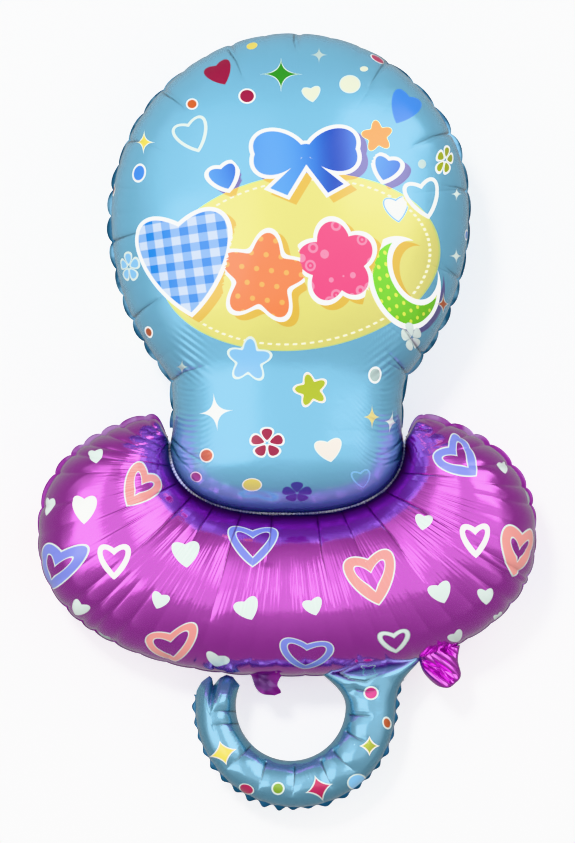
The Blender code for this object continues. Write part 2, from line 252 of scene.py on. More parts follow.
# Print colours, as the ink looks under plain light
INKS = {
    "white": (246, 247, 244), "silver": (206, 218, 212), "grey": (158, 176, 172), "cream": (232, 224, 214),
    "beige": (208, 212, 190), "gold": (196, 184, 120), "mustard": (206, 190, 86), "yellow": (232, 216, 78),
    "orange": (240, 160, 42), "rust": (168, 78, 30), "maroon": (128, 20, 54), "crimson": (168, 26, 80),
    "magenta": (176, 28, 112), "salmon": (226, 148, 142), "periwinkle": (118, 128, 210),
    "sky": (128, 190, 232), "blue": (52, 126, 212), "indigo": (58, 46, 132), "green": (42, 122, 34),
    "leaf": (114, 146, 34), "olive": (142, 152, 30),
}
KINDS = ("dot", "heart", "star", "fat_star", "round_star", "flower", "blossom", "moon", "bow")

# A motif: kind, centre, width and height in pixels, turn in degrees, ink, line ink or None for the same, line
# width and band width in pixels. A band narrower than the motif leaves its middle open, with a line on both
# sides. The ink of a large motif is the name of its pattern.
SOLID = 99.0
Motif = namedtuple("Motif", "kind x y width height turn ink line line_width band", defaults=(None, 0, SOLID))

# A heart's width and height in units of the circle that it is sheared from
HEART_WIDTH = 2.0
HEART_HEIGHT = 2.256

# How many faces round a motif its map is fitted to, and the least that the map shortens one way by
FITTED_FACES = 160
LEAST_SCALE = 0.45

# Small motifs
TEAT_MOTIFS = [Motif(*row) for row in (
    ("dot", 252, 46, 11, 6, 15, "mustard"),
    ("heart", 219.6, 73.3, 28.7, 23, 26, "maroon"),
    ("star", 281, 74, 46, 37, 0, "green", "white", 0.8),
    ("star", 319, 55, 19, 17, 0, "grey"),
    ("dot", 247, 96, 17, 15, 0, "maroon", "white", 1.4),
    ("dot", 192, 104, 12, 11, 10, "rust", "white", 1.3),
    ("heart", 311.6, 94.4, 18.8, 15.5, 8, "beige", "silver", 0.9),
    ("dot", 350, 84, 21, 18, 0, "beige", "silver", 1.0),
    ("dot", 364, 69, 8, 5, 0, "beige"),
    ("dot", 377, 60, 16, 7, -30, "crimson", "white", 1.1),
    ("heart", 404.4, 107.5, 32, 32.6, -26, "blue"),
    ("round_star", 377.5, 136, 33, 33, 8, "orange", "gold", 0.8),
    ("flower", 445, 160, 18, 31, -12, "olive", "white", 1.0),
    ("dot", 422, 164, 8, 9, 0, "grey"),
    ("heart", 192.4, 135.9, 37, 34.2, 22, "silver", "silver", 1.6, 0),
    ("star", 144, 142, 21, 27, 0, "yellow", "white", 0.9),
    ("dot", 139, 173, 13, 19, -14, "blue", "white", 1.4),
    ("dot", 114, 190, 6, 13, 0, "rust", "white", 1.0),
    ("flower", 129, 267, 20, 31, 4, "sky", "silver", 1.1),
    ("dot", 149, 332, 8, 12, 18, "rust", "white", 1.2),
    ("star", 182, 367, 14, 17, 0, "grey"),
    ("round_star", 249, 360, 48, 48, -4, "sky", "silver", 2.3),
    ("round_star", 311, 390, 37, 37, 14, "olive", "cream", 1.9),
    ("dot", 375, 375, 13, 17, -8, "grey", "white", 1.5),
    ("star", 215.5, 412, 37, 41, 6, "white"),
    ("heart", 397, 209.6, 26, 26.2, 8, "white", "sky", 1.5),
    ("heart", 424.2, 199.4, 36, 40.3, 14, "white", "white", 1.9, 0),
    ("star", 456.6, 194, 11, 15, 0, "silver"),
    ("dot", 466, 235, 6, 11, 0, "blue", "white", 0.8),
    ("star", 456, 256, 13, 16, 0, "silver"),
    ("star", 443, 304, 16, 26, 0, "rust", "silver", 0.9),
    ("flower", 412, 337, 20, 28, 10, "silver", "silver", 0.9),
    ("star", 372, 417, 19, 27, 0, "gold"),
    ("star", 391, 422, 13, 26, -10, "silver"),
    ("heart", 329.1, 450.8, 27.7, 23, 10, "cream", "silver", 0.8),
    ("flower", 267, 443, 36, 32, 0, "maroon", "white", 1.3),
    ("dot", 206.5, 455.5, 14, 14, -25, "rust", "cream", 1.2),
    ("dot", 196, 477, 12, 10, -30, "maroon", "cream", 1.1),
    ("dot", 252, 485, 20, 13, 0, "mustard", "cream", 1.2),
    ("flower", 297, 493, 30, 20, 0, "indigo"),
    ("heart", 362, 479.7, 19, 18.2, 12, "sky", "sky", 0.8, 0),
)]
SHIELD_MOTIFS = [Motif("heart", *row) for row in (
    (95.5, 456.3, 15, 13.6, 8, "silver", "silver", 0.8),
    (84, 510, 25, 28, 0, "white"),
    (49.4, 506.5, 12.1, 18.2, -14, "silver", "silver", 0.8),
    (139.7, 487.9, 39.6, 44.6, -33, "salmon", "silver", 1.3, 8.5),
    (114, 562, 33, 35, 0, "white", "white", 0.5, 4.6),
    (53.5, 570.8, 39.4, 48, -16, "periwinkle", "silver", 1.2, 8.5),
    (186, 554.5, 28, 26, 4, "silver"),
    (253, 545, 50, 41, 0, "periwinkle", "silver", 1.3, 7.5),
    (159.5, 601.1, 18, 16.2, -20, "silver"),
    (78.3, 609.7, 17.8, 13.7, -30, "silver"),
    (247.7, 609.7, 25, 21.8, 22, "silver"),
    (104.2, 636.9, 13.7, 8.5, -20, "grey"),
    (171.6, 648, 51.9, 33.6, 10, "salmon", "silver", 1.3, 8.0),
    (217.2, 661, 24.2, 12.4, -14, "silver"),
    (306.1, 656.9, 54.4, 30.1, -6, "periwinkle", "silver", 1.2, 7.0),
    (460.7, 459.5, 43.2, 46.9, 44, "periwinkle", "silver", 1.3, 8.5),
    (503.2, 467.8, 13, 13.3, 20, "silver"),
    (528.2, 498.2, 8.2, 14.4, 10, "grey"),
    (475.5, 541, 30, 34, 2, "white", "white", 0.5, 4.6),
    (519, 552.8, 34.3, 52.4, -8, "salmon", "silver", 1.2, 8.0),
    (423.4, 522.4, 17.8, 15.5, -8, "silver"),
    (372.6, 579.1, 53, 54.7, 14, "salmon", "silver", 1.4, 10.5),
    (313.4, 607.1, 19.8, 17.1, 18, "silver"),
    (440.9, 593.4, 23, 20.9, 20, "silver"),
    (486, 597, 16, 16, 4, "silver"),
    (394.9, 642.7, 32.7, 23.3, 8, "silver", "grey", 0.8, 4.4),
    (498.3, 617.7, 10, 14.2, 24, "silver"),
    (456.4, 637.5, 15.7, 10.8, 30, "silver"),
    (368, 667, 15, 8, 0, "silver", "silver", 0.7, 0),
)]
HANDLE_MOTIFS = [Motif(*row) for row in (
    ("dot", 371, 693, 15, 14, 0, "magenta", "silver", 1.5),
    ("dot", 387, 723, 9, 13, 16, "rust", "silver", 1.2),
    ("fat_star", 369.5, 746, 21, 21, 0, "olive", "cream", 1.2),
    ("fat_star", 223, 753, 30, 26, 16, "yellow", "cream", 1.2),
    ("dot", 246.5, 789, 16, 10, -22, "crimson", "silver", 1.2),
    ("dot", 278, 788.5, 13, 13, 0, "leaf", "silver", 1.5),
    ("fat_star", 319, 788.5, 30, 28, 18, "crimson", "silver", 1.3),
    ("dot", 357, 782, 20, 16, 16, "sky", "silver", 1.5),
)]

# Large motifs of the middle panel, and the oval behind them
PATTERNS = ("gingham", "dotted orange", "ringed pink", "dotted green", "shaded blue")
PANEL_MOTIFS = [Motif(*row) for row in (
    ("heart", 183.7, 264, 92, 97, 8, "gingham"),
    ("round_star", 263, 277, 90, 90, -8, "dotted orange"),
    ("blossom", 337, 262, 78, 82, 10, "ringed pink"),
    ("moon", 408, 284, 62, 86, 24, "dotted green"),
    ("bow", 306, 160, 116, 84, 3, "shaded blue"),
    ("heart", 224.2, 177.7, 27.7, 23.8, 20, "shaded blue"),
    ("heart", 386.3, 169.2, 25.7, 22.8, -16, "shaded blue"),
)]
PANEL_CENTRE = (300.0, 262.0)
PANEL_HALF_SIZES = (141.0, 88.0)
PANEL_TURN = 7.0
PANEL_LINE = 4.2
PANEL_SHADOW = (7.0, 5.0)
STITCH_INSET = 6.5
STITCH_PITCH = 7.5
PANEL_INK = (0.53, 0.50, 0.15)
PANEL_RIM_INK = (0.42, 0.50, 0.16)
STITCH_INK = (0.86, 0.86, 0.66)
PANEL_LINE_INK = (0.93, 0.94, 0.93)
SHADOW_ON_FILM = (0.10, 0.09, 0.24)
SHADOW_ON_PANEL = (0.52, 0.34, 0.05)

# Painted shade: how dark the lacquer is painted deep in creases and folds and beside the shield's weld.
# Painted
# reflection: the violet-blue tint painted on the teat beside the weld, for the magenta shield mirrored there
CREASE_SHADE = 0.12
PAINTED_WELD_REFLECTION = (0.30, 0.40, 0.86)

# Studio: brightness of the walls, the ceiling and the panels on it, each from and to along x and y of the
# direction, with edges as soft as PANEL_EDGE. The key light and the floor's own glow light it from above.
WALL_LIGHT = 0.36
CEILING_LIGHT = 0.72
PANEL_EDGE = 0.14
STUDIO_PANELS = (
    ((0.28, 0.92, -0.14, 0.74), 1.90),
    ((-0.90, -0.16, -0.56, 0.16), 1.30),
    ((-0.72, -0.06, 0.08, 0.72), 0.36),
)
KEY_DIRECTION = (-0.26, 0.34, 1.0)
KEY_DISTANCE = 4.0
KEY_SIZE = 0.6
KEY_WATTS = 190.0
FLOOR_HALF_SIZE = 40.0
FLOOR_GLOW = 0.42


class BalloonSizes(bpy.types.PropertyGroup):
    """Sizes of the film's seams and folds."""

    __annotations__ = {
        key: bpy.props.FloatProperty(name=label, description=text, default=size, unit="LENGTH")
        for key, label, text, size in (
            ("crease_depth", "Crease depth", "Depth of the sharp creases at the seams", 0.0022),
            ("crease_width", "Crease width", "Half width of a sharp crease", 0.0012),
            ("gather_depth", "Gather depth", "How far a gather draws the outline in", 0.0034),
            ("rib_height", "Rib height", "Height of the shield's fine ribs", 0.00016),
            ("wrinkle_height", "Wrinkle height", "Height of the neck's wrinkles", 0.0010),
            ("weld_gap", "Weld gap", "Flat film on either side of the curved weld", 0.0005),
            ("weld_radius", "Weld radius", "Radius of the knurled weld line", 0.0011),
            ("film", "Seam thickness", "Thickness of the flat seam margins", 0.0006),
        )
    }


class BalloonColours(bpy.types.PropertyGroup):
    """Colours of the lacquered film, of the painted shade on its seam margins, and of the floor."""

    __annotations__ = {
        key: bpy.props.FloatVectorProperty(
            name=label, description=text, default=colour, size=3, subtype="COLOR", min=0.0, max=1.0
        )
        for key, label, text, colour in (
            ("blue_film", "Blue film", "Lacquer of the teat and the handle", (0.165, 0.41, 0.57)),
            ("magenta_film", "Magenta film", "Lacquer of the shield", (0.61, 0.105, 0.62)),
            # The margin colours are painted shade: the same lacquered film, darkened where the margins curl
            # back out of the light.
            ("blue_margin", "Blue margin", "Seam margin of the teat and the handle", (0.03, 0.12, 0.22)),
            ("magenta_margin", "Magenta margin", "Seam margin of the shield", (0.22, 0.03, 0.24)),
            ("floor", "Floor", "Plain pale floor", (0.92, 0.92, 0.92)),
        )
    }


def smooth_step(t):
    """0 below 0, 1 above 1, and a smooth S between."""
    t = np.clip(t, 0.0, 1.0)
    return t * t * (3.0 - 2.0 * t)


def smooth_max(a, b, blend):
    """The larger of a and b, with the corner rounded over the length blend."""
    return (a + b + np.sqrt((a - b) ** 2 + blend**2)) / 2.0


def superellipse(angle, width, height, power):
    """A rounded oval: |x/width|^power + |y/height|^power = 1, at these angles in radians."""
    c, s = np.cos(angle), np.sin(angle)
    x = width * np.sign(c) * np.abs(c) ** (2.0 / power)
    y = height * np.sign(s) * np.abs(s) ** (2.0 / power)
    return np.stack([x, y], axis=-1)


def along(points):
    """The distance travelled along a line of points, 0 at its first."""
    steps = np.linalg.norm(np.diff(points, axis=0), axis=1)
    return np.concatenate([[0.0], np.cumsum(steps)])


def read_at(points, where, at):
    """Points of a line at the given distances along it."""
    return np.stack([np.interp(at, where, points[:, k]) for k in range(points.shape[1])], axis=-1)


def outward(points, inside):
    """Unit vectors square to a line of points in the plane, on the side away from the point inside."""
    ahead = np.gradient(points, axis=0)
    side = np.stack([ahead[:, 1], -ahead[:, 0]], axis=-1)
    side /= np.linalg.norm(side, axis=1)[:, None]
    middle = len(points) // 2
    return side * np.sign(np.dot(side[middle], points[middle] - inside))


def smooth_route(points, count):
    """A line of count points through the given ones, by Catmull and Rom's cubic between each two."""
    p = np.array(points, dtype=float)
    p = np.concatenate([[2 * p[0] - p[1]], p, [2 * p[-1] - p[-2]]])
    t = np.linspace(0.0, len(p) - 3.0, count)
    k = np.minimum(t.astype(int), len(p) - 4)
    f = (t - k)[:, None]
    a, b, c, d = p[k], p[k + 1], p[k + 2], p[k + 3]
    return b + f * (c - a) / 2 + f**2 * (a - 2.5 * b + 2 * c - d / 2) + f**3 * (1.5 * (b - c) + (d - a) / 2)


def on_seam(pixels):
    """Photo pixels as points of the seam plane."""
    return (np.asarray(pixels, dtype=float) - PHOTO_ORIGIN) * [PIXEL, -PIXEL]


def on_photo(flat):
    """Points of the seam plane as photo pixels."""
    return flat / [PIXEL, -PIXEL] + PHOTO_ORIGIN


def shown(points):
    """The photo pixel at which each point of the seam frame shows: what stands out of the seam plane lies
    nearer to the camera, so it moves away from the picture's middle by distance / (distance - height)."""
    nearer = VIEW_DISTANCE / (VIEW_DISTANCE - np.abs(points[..., 2:3]))
    return IMAGE_SIZE / 2 + (on_photo(points[..., :2]) - IMAGE_SIZE / 2) * nearer


def in_row_frame(points):
    """Points of the seam frame in the row frame: turned about x by the seam's tilt, moved, and pressed flat
    where they would reach below the surface that the balloon lies on."""
    c, s = math.cos(SEAM_TILT), math.sin(SEAM_TILT)
    turn = np.array([[1.0, 0.0, 0.0], [0.0, c, -s], [0.0, s, c]])
    placed = points @ turn.T + SEAM_MOVE
    placed[:, 2] = np.maximum(placed[:, 2], 0.0)
    return placed


def raised(flat, height, *more):
    """Points from their places in the seam plane and their heights, with more numbers behind them."""
    return np.concatenate([flat, height[..., None], *more], axis=-1)


def beside(line, away, distance):
    """A grid of points at these distances beside a line in the plane, along the vectors away."""
    return line[:, None, :] + away[:, None, :] * distance[..., None]


def arch(rows):
    """The half turn of an arch in so many rows, and the share of its width at each of them."""
    turn = np.linspace(0.0, np.pi, rows + 1)
    return turn, (1.0 - np.cos(turn)) / 2.0


def line_noise(at, pitch, seed):
    """Smooth random values from -1 to 1 along a line: a new value every pitch, an S curve between."""
    at = np.asarray(at) / pitch
    low = np.floor(at).astype(int)
    values = np.random.default_rng(seed).uniform(-1.0, 1.0, low.max() - low.min() + 2)
    f = smooth_step(at - low)
    low = low - low.min()
    return values[low] * (1.0 - f) + values[low + 1] * f


def towards(at, turn):
    """How far over the plane each place lies in the direction at the angle turn."""
    return at[..., 0] * np.cos(turn) + at[..., 1] * np.sin(turn)


def waves(at, height, pitches, seed):
    """The mean of one sine wave of this height for each pitch, in random directions over the plane."""
    rng = np.random.default_rng(seed)
    total = 0.0
    for pitch in pitches:
        turn, phase = rng.uniform(0.0, 2.0 * np.pi, 2)
        total = total + np.sin(towards(at, turn) * 2 * np.pi / pitch + phase)
    return height * (total / len(pitches))


def facets(at, pitches, gains, seed):
    """A sum of folded waves |sin|, one for each pitch, in random directions over the plane."""
    rng = np.random.default_rng(seed)
    total = 0.0
    for pitch, gain in zip(pitches, gains):
        turn, phase = rng.uniform(0.0, np.pi, 2)
        total = total + gain * np.abs(np.sin(np.pi * towards(at, turn) / pitch + phase))
    return total


def groove(at, route, half_width, power=1.0):
    """A valley along a route over the plane, 1 deep at its start and 0 at its end. Across it falls off as
    exp(-(distance / half width)^power), so power 1 is a sharp crease and 2 a soft trough."""
    route = np.array(route, dtype=float)
    travelled = along(route)
    deepest = np.zeros(at.shape[:-1])
    for start, a, b in zip(travelled, route[:-1], route[1:]):
        step = b - a
        length = np.linalg.norm(step)
        u = np.clip(((at - a) @ step) / length**2, 0.0, 1.0)
        away = np.linalg.norm(at - a - u[..., None] * step, axis=-1)
        left = 1.0 - (start + u * length) / travelled[-1]
        deepest = np.maximum(deepest, np.exp(-((away / half_width) ** power)) * np.sqrt(left))
    return deepest


def creased(seen, routes, sizes, gain, trough, trough_width):
    """The relief of creases in a film, each a sharp fold in the middle of a soft trough, and how deep in a
    fold each point lies, from 0 to 1."""
    fold, relief = np.zeros(seen.shape[:-1]), np.zeros(seen.shape[:-1])
    for route in routes:
        sharp = groove(seen, route, sizes.crease_width / PIXEL)
        fold = np.maximum(fold, sharp)
        relief -= gain * sizes.crease_depth * sharp + trough * groove(seen, route, trough_width, 2.0)
    return relief, fold


def crowded(length, count, crowds):
    """count + 1 distances from 0 to length, closer together by 1 + gain near the place of each crowd, which
    is (place, half width, gain)."""
    fine = np.linspace(0.0, length, 20 * DENSE)
    density = np.ones_like(fine)
    for place, width, gain in crowds:
        density += gain * np.exp(-(((fine - place) / width) ** 2))
    total = np.concatenate([[0.0], np.cumsum((density[1:] + density[:-1]) / 2)])
    return np.interp(np.linspace(0.0, total[-1], count + 1), total, fine)


def gathers(marks, length, minor):
    """Where a seam is gathered and how strongly: at the marks by 1, and about a pitch apart between them by
    the lesser strength minor."""
    edges = np.concatenate([[0.0], np.sort(marks), [length]])
    places, strength = [], []
    for low, high in zip(edges[:-1], edges[1:]):
        parts = max(1, round((high - low) / GATHER_PITCH))
        places.extend(low + (high - low) * np.arange(parts) / parts)
        strength.extend([1.0] + [minor] * (parts - 1))
    return np.array([*places, length]), np.array([*strength, 1.0])


def fullness(at, places, strength):
    """For each distance along a seam: 0 at a gather rising to 1 between two, and the gathers' strength."""
    k = np.clip(np.searchsorted(places, at, side="right") - 1, 0, len(places) - 2)
    f = np.clip((at - places[k]) / np.maximum(places[k + 1] - places[k], 1e-9), 0.0, 1.0)
    return (4.0 * f * (1.0 - f)) ** 0.7, strength[k] * (1.0 - f) + strength[k + 1] * f


def nearest_along(line, where, points):
    """The distances along a line of its points nearest to the given ones."""
    gaps = np.linalg.norm(line[None, :, :] - np.asarray(points)[:, None, :], axis=-1)
    return where[np.argmin(gaps, axis=1)]


def teat_half_width(y):
    """Half the teat's width at height y: a half ellipse that runs out into the straight neck."""
    below = np.clip((BULB_Y - y) / BULB_DROP, 0.0, 1.0)
    return smooth_max(BULB_RADIUS * np.sqrt(1.0 - below**2), NECK_HALF_WIDTH, NECK_BLEND)


def teat_height(x, y):
    """Height of the teat over the seam plane: a dome over the bulb, an arch along the neck and a rounded
    end at the weld, each falling to nothing at the outline."""
    below = np.clip((BULB_Y - y) / BULB_DROP, 0.0, 1.0)
    crown = smooth_max(BULB_CROWN * np.sqrt(1.0 - below**2), NECK_CROWN, NECK_BLEND)
    power = 2.0 + (WELD_POWER - 2.0) * smooth_step(below)
    up = np.clip((y - BULB_Y) / BULB_RISE, 0.0, 1.0)
    down = np.clip(-y / WELD_DEPTH, 0.0, 1.0)
    used = np.abs(x / teat_half_width(y)) ** power + up**2 + down**WELD_POWER
    return crown * np.sqrt(np.clip(1.0 - used, 0.0, 1.0))


def leaned(points):
    """The points sheared sideways with their height, as the teat leans on the shield."""
    return points + TEAT_LEAN * points[..., 1:2] * np.array([1.0, 0.0])


def teat_outline():
    """The teat's outline from the weld's middle up its right side, over the bulb and down again, and for each
    point the centre that its rib starts from, which slides up the neck into the bulb's centre."""
    turn = np.linspace(-np.pi / 2, 0.0, DENSE)
    weld = superellipse(turn, teat_half_width(0.0), WELD_DEPTH, WELD_POWER)
    rise = np.linspace(0.0, BULB_Y, DENSE)[1:-1]
    flank = np.stack([teat_half_width(rise), rise], axis=-1)
    turn = np.linspace(0.0, np.pi / 2, DENSE)
    top = superellipse(turn, teat_half_width(BULB_Y), BULB_RISE, 2.0) + [0.0, BULB_Y]
    half = np.concatenate([weld, flank, top])
    fan_y = BULB_Y - FAN_SHARE * BULB_DROP
    centre_y = BULB_Y * (1.0 - smooth_step((fan_y - half[:, 1]) / fan_y))
    return np.concatenate([half, half[-2::-1] * [-1.0, 1.0]]), np.concatenate([centre_y, centre_y[-2::-1]])


def weld_line():
    """The weld from the left end of the neck round its lower end to the right one."""
    turn = np.linspace(-np.pi, 0.0, DENSE)
    return superellipse(turn, teat_half_width(0.0), WELD_DEPTH, WELD_POWER)


def shield_outline():
    """The shield's outer edge from the left notch round below to the right one: two half ovals, pulled in
    at both ends to the notches beside the neck."""
    notch_x = teat_half_width(NOTCH_RISE)
    start = np.arccos((notch_x / SHIELD_HALF_WIDTH) ** (SHIELD_UPPER_POWER / 2.0))
    turn = np.linspace(np.pi - start, np.pi, DENSE)
    left = superellipse(turn, SHIELD_HALF_WIDTH, SHIELD_UPPER_DEPTH, SHIELD_UPPER_POWER)
    turn = np.linspace(np.pi, 2 * np.pi, DENSE)
    below = superellipse(turn, SHIELD_HALF_WIDTH, SHIELD_LOWER_DEPTH, SHIELD_LOWER_POWER)
    right = left[::-1] * [-1.0, 1.0]
    points = np.concatenate([left, below[1:-1], right]) + [0.0, SHIELD_Y]
    where = along(points)
    for side, end, distance in ((-1.0, points[0], where), (1.0, points[-1], where[-1] - where)):
        pull = np.array([side * notch_x, NOTCH_RISE]) - end
        points = points + np.exp(-((distance / NOTCH_REACH) ** 2))[:, None] * pull
    return points


def shield_foot(x):
    """The height of the shield's lower edge at x."""
    used = np.abs(x / SHIELD_HALF_WIDTH) ** SHIELD_LOWER_POWER
    return SHIELD_Y - SHIELD_LOWER_DEPTH * (1.0 - used) ** (1.0 / SHIELD_LOWER_POWER)


def handle_middle():
    """The centre of the handle's ring."""
    return np.array([HANDLE_X, shield_foot(0.0) - HANDLE_MEAN_RADIUS * np.sin(np.radians(HANDLE_END_RISE))])


def handle_rail(angle, radius, root_x, shift):
    """One edge of the handle at these angles: a circle, pulled to its root on the shield's lower edge."""
    root_angle = np.radians(HANDLE_ROOT_RISE)
    flare = smooth_step((angle - root_angle) / np.radians(ROOT_FLARE_ANGLE) + 1.0)
    middle = handle_middle() + shift
    plain_end = middle + radius * np.array([np.cos(root_angle), np.sin(root_angle)])
    pull = np.array([root_x, shield_foot(root_x) + ROOT_DEPTH]) - plain_end
    ray = np.stack([np.cos(angle), np.sin(angle)], axis=-1)
    return middle + radius * ray + flare[..., None] ** 2 * pull


def handle_rails(angle):
    """The handle's inner and outer edges at these angles round the ring."""
    inner = handle_rail(angle, HANDLE_MEAN_RADIUS - HANDLE_HALF_WIDTH, ROOT_INNER_X, INNER_SHIFT)
    outer = handle_rail(angle, HANDLE_MEAN_RADIUS + HANDLE_HALF_WIDTH, ROOT_OUTER_X, OUTER_SHIFT)
    return inner, outer


def closed_mesh(name, grids):
    """A mesh of triangles from grids of points in the seam frame. Points that coincide become one, so the
    grids close on each other, on their own first columns and in their poles. Each grid comes with whether
    its faces turn the other way, with plan, and with its tile of the UV map, (left, foot, right, top): the
    grid is laid out there as it lies in the seam plane if plan is true, and column by row if not. A fourth
    number of each point says how deep in a crease it lies, from 0 to 1, or below 0 how near the weld it is,
    and a fifth and sixth where it lies on the film rolled out flat. Two triangles that lie face to face are
    left out. Returns the mesh and every corner's point in the seam frame with its place on the flat film."""
    points, extras, triangles, charts, start = [], [], [], [], 0
    for grid, flip, plan, tile in grids:
        columns, rows = grid.shape[:2]
        index = np.arange(columns * rows).reshape(columns, rows)
        a, b = index[:-1, :-1].ravel(), index[1:, :-1].ravel()
        c, d = index[1:, 1:].ravel(), index[:-1, 1:].ravel()
        pair = np.concatenate([np.stack([a, b, c], axis=-1), np.stack([a, c, d], axis=-1)])
        flat = (grid[..., :2] if plan else np.moveaxis(np.indices((columns, rows)), 0, -1)).reshape(-1, 2)
        span = (flat - flat.min(axis=0)) / np.ptp(flat, axis=0)
        charts.append(np.array(tile[:2]) + span * (np.array(tile[2:]) - tile[:2]))
        triangles.append(start + (pair[:, ::-1] if flip else pair))
        points.append(grid[..., :3].reshape(-1, 3))
        more = grid[..., 3:].reshape(columns * rows, -1)
        extras.append(np.pad(more, ((0, 0), (0, 3 - more.shape[1]))))
        start += columns * rows
    points, chart, extra = np.concatenate(points), np.concatenate(charts), np.concatenate(extras)
    triangles = np.concatenate(triangles)
    keys = np.round(points / SAME_POINT).astype(np.int64)
    _, first, place = np.unique(keys, axis=0, return_index=True, return_inverse=True)
    welded = place.ravel()[triangles]
    whole = (welded != np.roll(welded, 1, axis=1)).all(axis=1)
    _, same, times = np.unique(np.sort(welded, axis=1), axis=0, return_inverse=True, return_counts=True)
    whole &= times[same.ravel()] == 1
    triangles, welded, points, extra = triangles[whole], welded[whole], points[first], extra[first]
    a, b, c = (points[welded[:, k]] for k in range(3))
    if np.einsum("ij,ij->", a, np.cross(b, c)) < 0.0:
        triangles, welded = triangles[:, ::-1], welded[:, ::-1]
    mesh = bpy.data.meshes.new(name)
    mesh.from_pydata(in_row_frame(points).tolist(), [], welded.tolist())
    # The fold number is the strength of the painted shade in creases, folds and beside the shield's weld, and
    # below 0 that of the painted reflection on the teat beside the weld.
    store(mesh, "fold", "FLOAT", "POINT", extra[:, 0])
    mesh.uv_layers.new(name="film").uv.foreach_set("vector", chart[triangles].ravel().astype(np.float32))
    mesh.shade_smooth()
    return mesh, np.concatenate([points, extra[:, 1:]], axis=1)[welded]


def rolled_out(sheet, crest):
    """Where each point of a sheet lies on its film when that is flat: as far from its column's point on the
    row crest as the film's own length between the two, in the column's direction over the plane."""
    steps = np.linalg.norm(np.diff(sheet, axis=1), axis=-1)
    travelled = np.concatenate([np.zeros((len(sheet), 1)), np.cumsum(steps, axis=1)], axis=1)
    travelled -= travelled[:, crest][:, None]
    way = sheet[:, -1, :2] - sheet[:, 0, :2]
    way /= np.maximum(np.linalg.norm(way, axis=1), 1e-9)[:, None]
    return sheet[:, crest][:, None, :2] + travelled[..., None] * way[:, None, :]


def motif_places(motifs, pixels, corners):
    """For each face, the number of the motif whose edge is nearest, and its corners' places in pixels as that
    motif has them. The film is rolled out from the motif's middle, pixel = film * map, where the map is the
    best one for the faces round the middle, so a motif near the seam goes round it unstretched. A sheet's cap
    in the seam plane is left out."""
    film, domed = corners[..., 3:], np.abs(corners[..., 2]).max(axis=1) > 0.0
    middles = np.array([(motif.x, motif.y) for motif in motifs], dtype=float)
    seen, flat = pixels.mean(axis=1), np.pad(film.mean(axis=1), ((0, 0), (0, 1)), constant_values=1.0)
    nearest, found = np.full(len(seen), np.inf), np.zeros(len(seen), dtype=int)
    maps = np.zeros((len(motifs), 3, 2))
    for number, (motif, middle) in enumerate(zip(motifs, middles)):
        away = np.where(domed, np.linalg.norm(seen - middle, axis=-1), np.inf)
        close = np.argpartition(away, FITTED_FACES)[:FITTED_FACES]
        maps[number] = np.linalg.lstsq(flat[close], seen[close], rcond=None)[0]
        u, scale, v = np.linalg.svd(maps[number, :2])
        maps[number, :2] = u @ np.diag(np.maximum(scale, LEAST_SCALE * scale[0])) @ v
        maps[number, 2] += (seen[close] - flat[close] @ maps[number]).mean(axis=0)
        gap = np.linalg.norm(flat @ maps[number] - middle, axis=-1) / ((motif.width + motif.height) / 4)
        closer = gap < nearest
        nearest[closer], found[closer] = gap[closer], number
    flat = np.pad(film, ((0, 0), (0, 0), (0, 1)), constant_values=1.0)
    return found, np.einsum("fkc,fcd->fkd", flat, maps[found])


def local_places(motifs, found, pixels):
    """Corner places in each motif's own frame, upright and in its own units: half its width and height, or
    for a heart the radius of the circle that it is sheared from. Also each unit in pixels."""
    table = np.array([[*m[1:5], math.radians(m.turn), m.kind == "heart"] for m in motifs], dtype=float)
    x, y, width, height, turn, heart = (table[found, k][:, None] for k in range(6))
    right, up = pixels[..., 0] - x, y - pixels[..., 1]
    u = right * np.cos(turn) + up * np.sin(turn)
    v = up * np.cos(turn) - right * np.sin(turn)
    unit_x = np.where(heart > 0, width / HEART_WIDTH, width / 2)
    unit_y = np.where(heart > 0, height / HEART_HEIGHT, height / 2)
    v = v / unit_y + np.where(heart > 0, HEART_HEIGHT / 2 - 1.0, 0.0)
    return np.stack([u / unit_x, v, np.zeros_like(u)], axis=-1), unit_x[:, 0]


def linear(ink):
    """An ink's colour on the linear scale that shaders use, and its alpha."""
    c = np.array(INKS[ink]) / 255.0
    return *np.where(c <= 0.04045, c / 12.92, ((c + 0.055) / 1.055) ** 2.4), 1.0


def store(mesh, name, kind, domain, values):
    """Stores an array on a mesh as an attribute."""
    layer = mesh.attributes.new(name, kind, domain)
    key = {"FLOAT": "value", "FLOAT_VECTOR": "vector", "FLOAT_COLOR": "color"}[kind]
    layer.data.foreach_set(key, np.ascontiguousarray(values, dtype=np.float32).ravel())


def printed_at(corners, mirrored=False):
    """The photo pixels of the corners' places on the print, which the back sheet carries mirrored."""
    pixels = shown(corners[..., :3])
    if mirrored:
        pixels[..., 0] = 2 * PHOTO_ORIGIN[0] - pixels[..., 0]
    return pixels


def print_on(mesh, pixels, corners, motifs):
    """Gives every face of the printed film its nearest motif: the place of each corner in that motif's frame,
    and the motif's inks, kind, line and band."""
    found, places = motif_places(motifs, pixels, corners)
    local, unit = local_places(motifs, found, places)
    kinds = np.array([KINDS.index(m.kind) for m in motifs], dtype=float)[found]
    widths = np.array([[m.line_width, m.band] for m in motifs], dtype=float)[found] / unit[:, None]
    store(mesh, "motif_at", "FLOAT_VECTOR", "CORNER", local)
    store(mesh, "motif_make", "FLOAT_VECTOR", "FACE", np.column_stack([kinds, widths]))
    inks = np.array([[linear(m.ink), linear(m.line or m.ink)] for m in motifs])[found]
    store(mesh, "motif_ink", "FLOAT_COLOR", "FACE", inks[:, 0])
    store(mesh, "motif_line", "FLOAT_COLOR", "FACE", inks[:, 1])
    store(mesh, "print_at", "FLOAT_VECTOR", "CORNER", np.concatenate([pixels, pixels[..., :1] * 0], axis=-1))


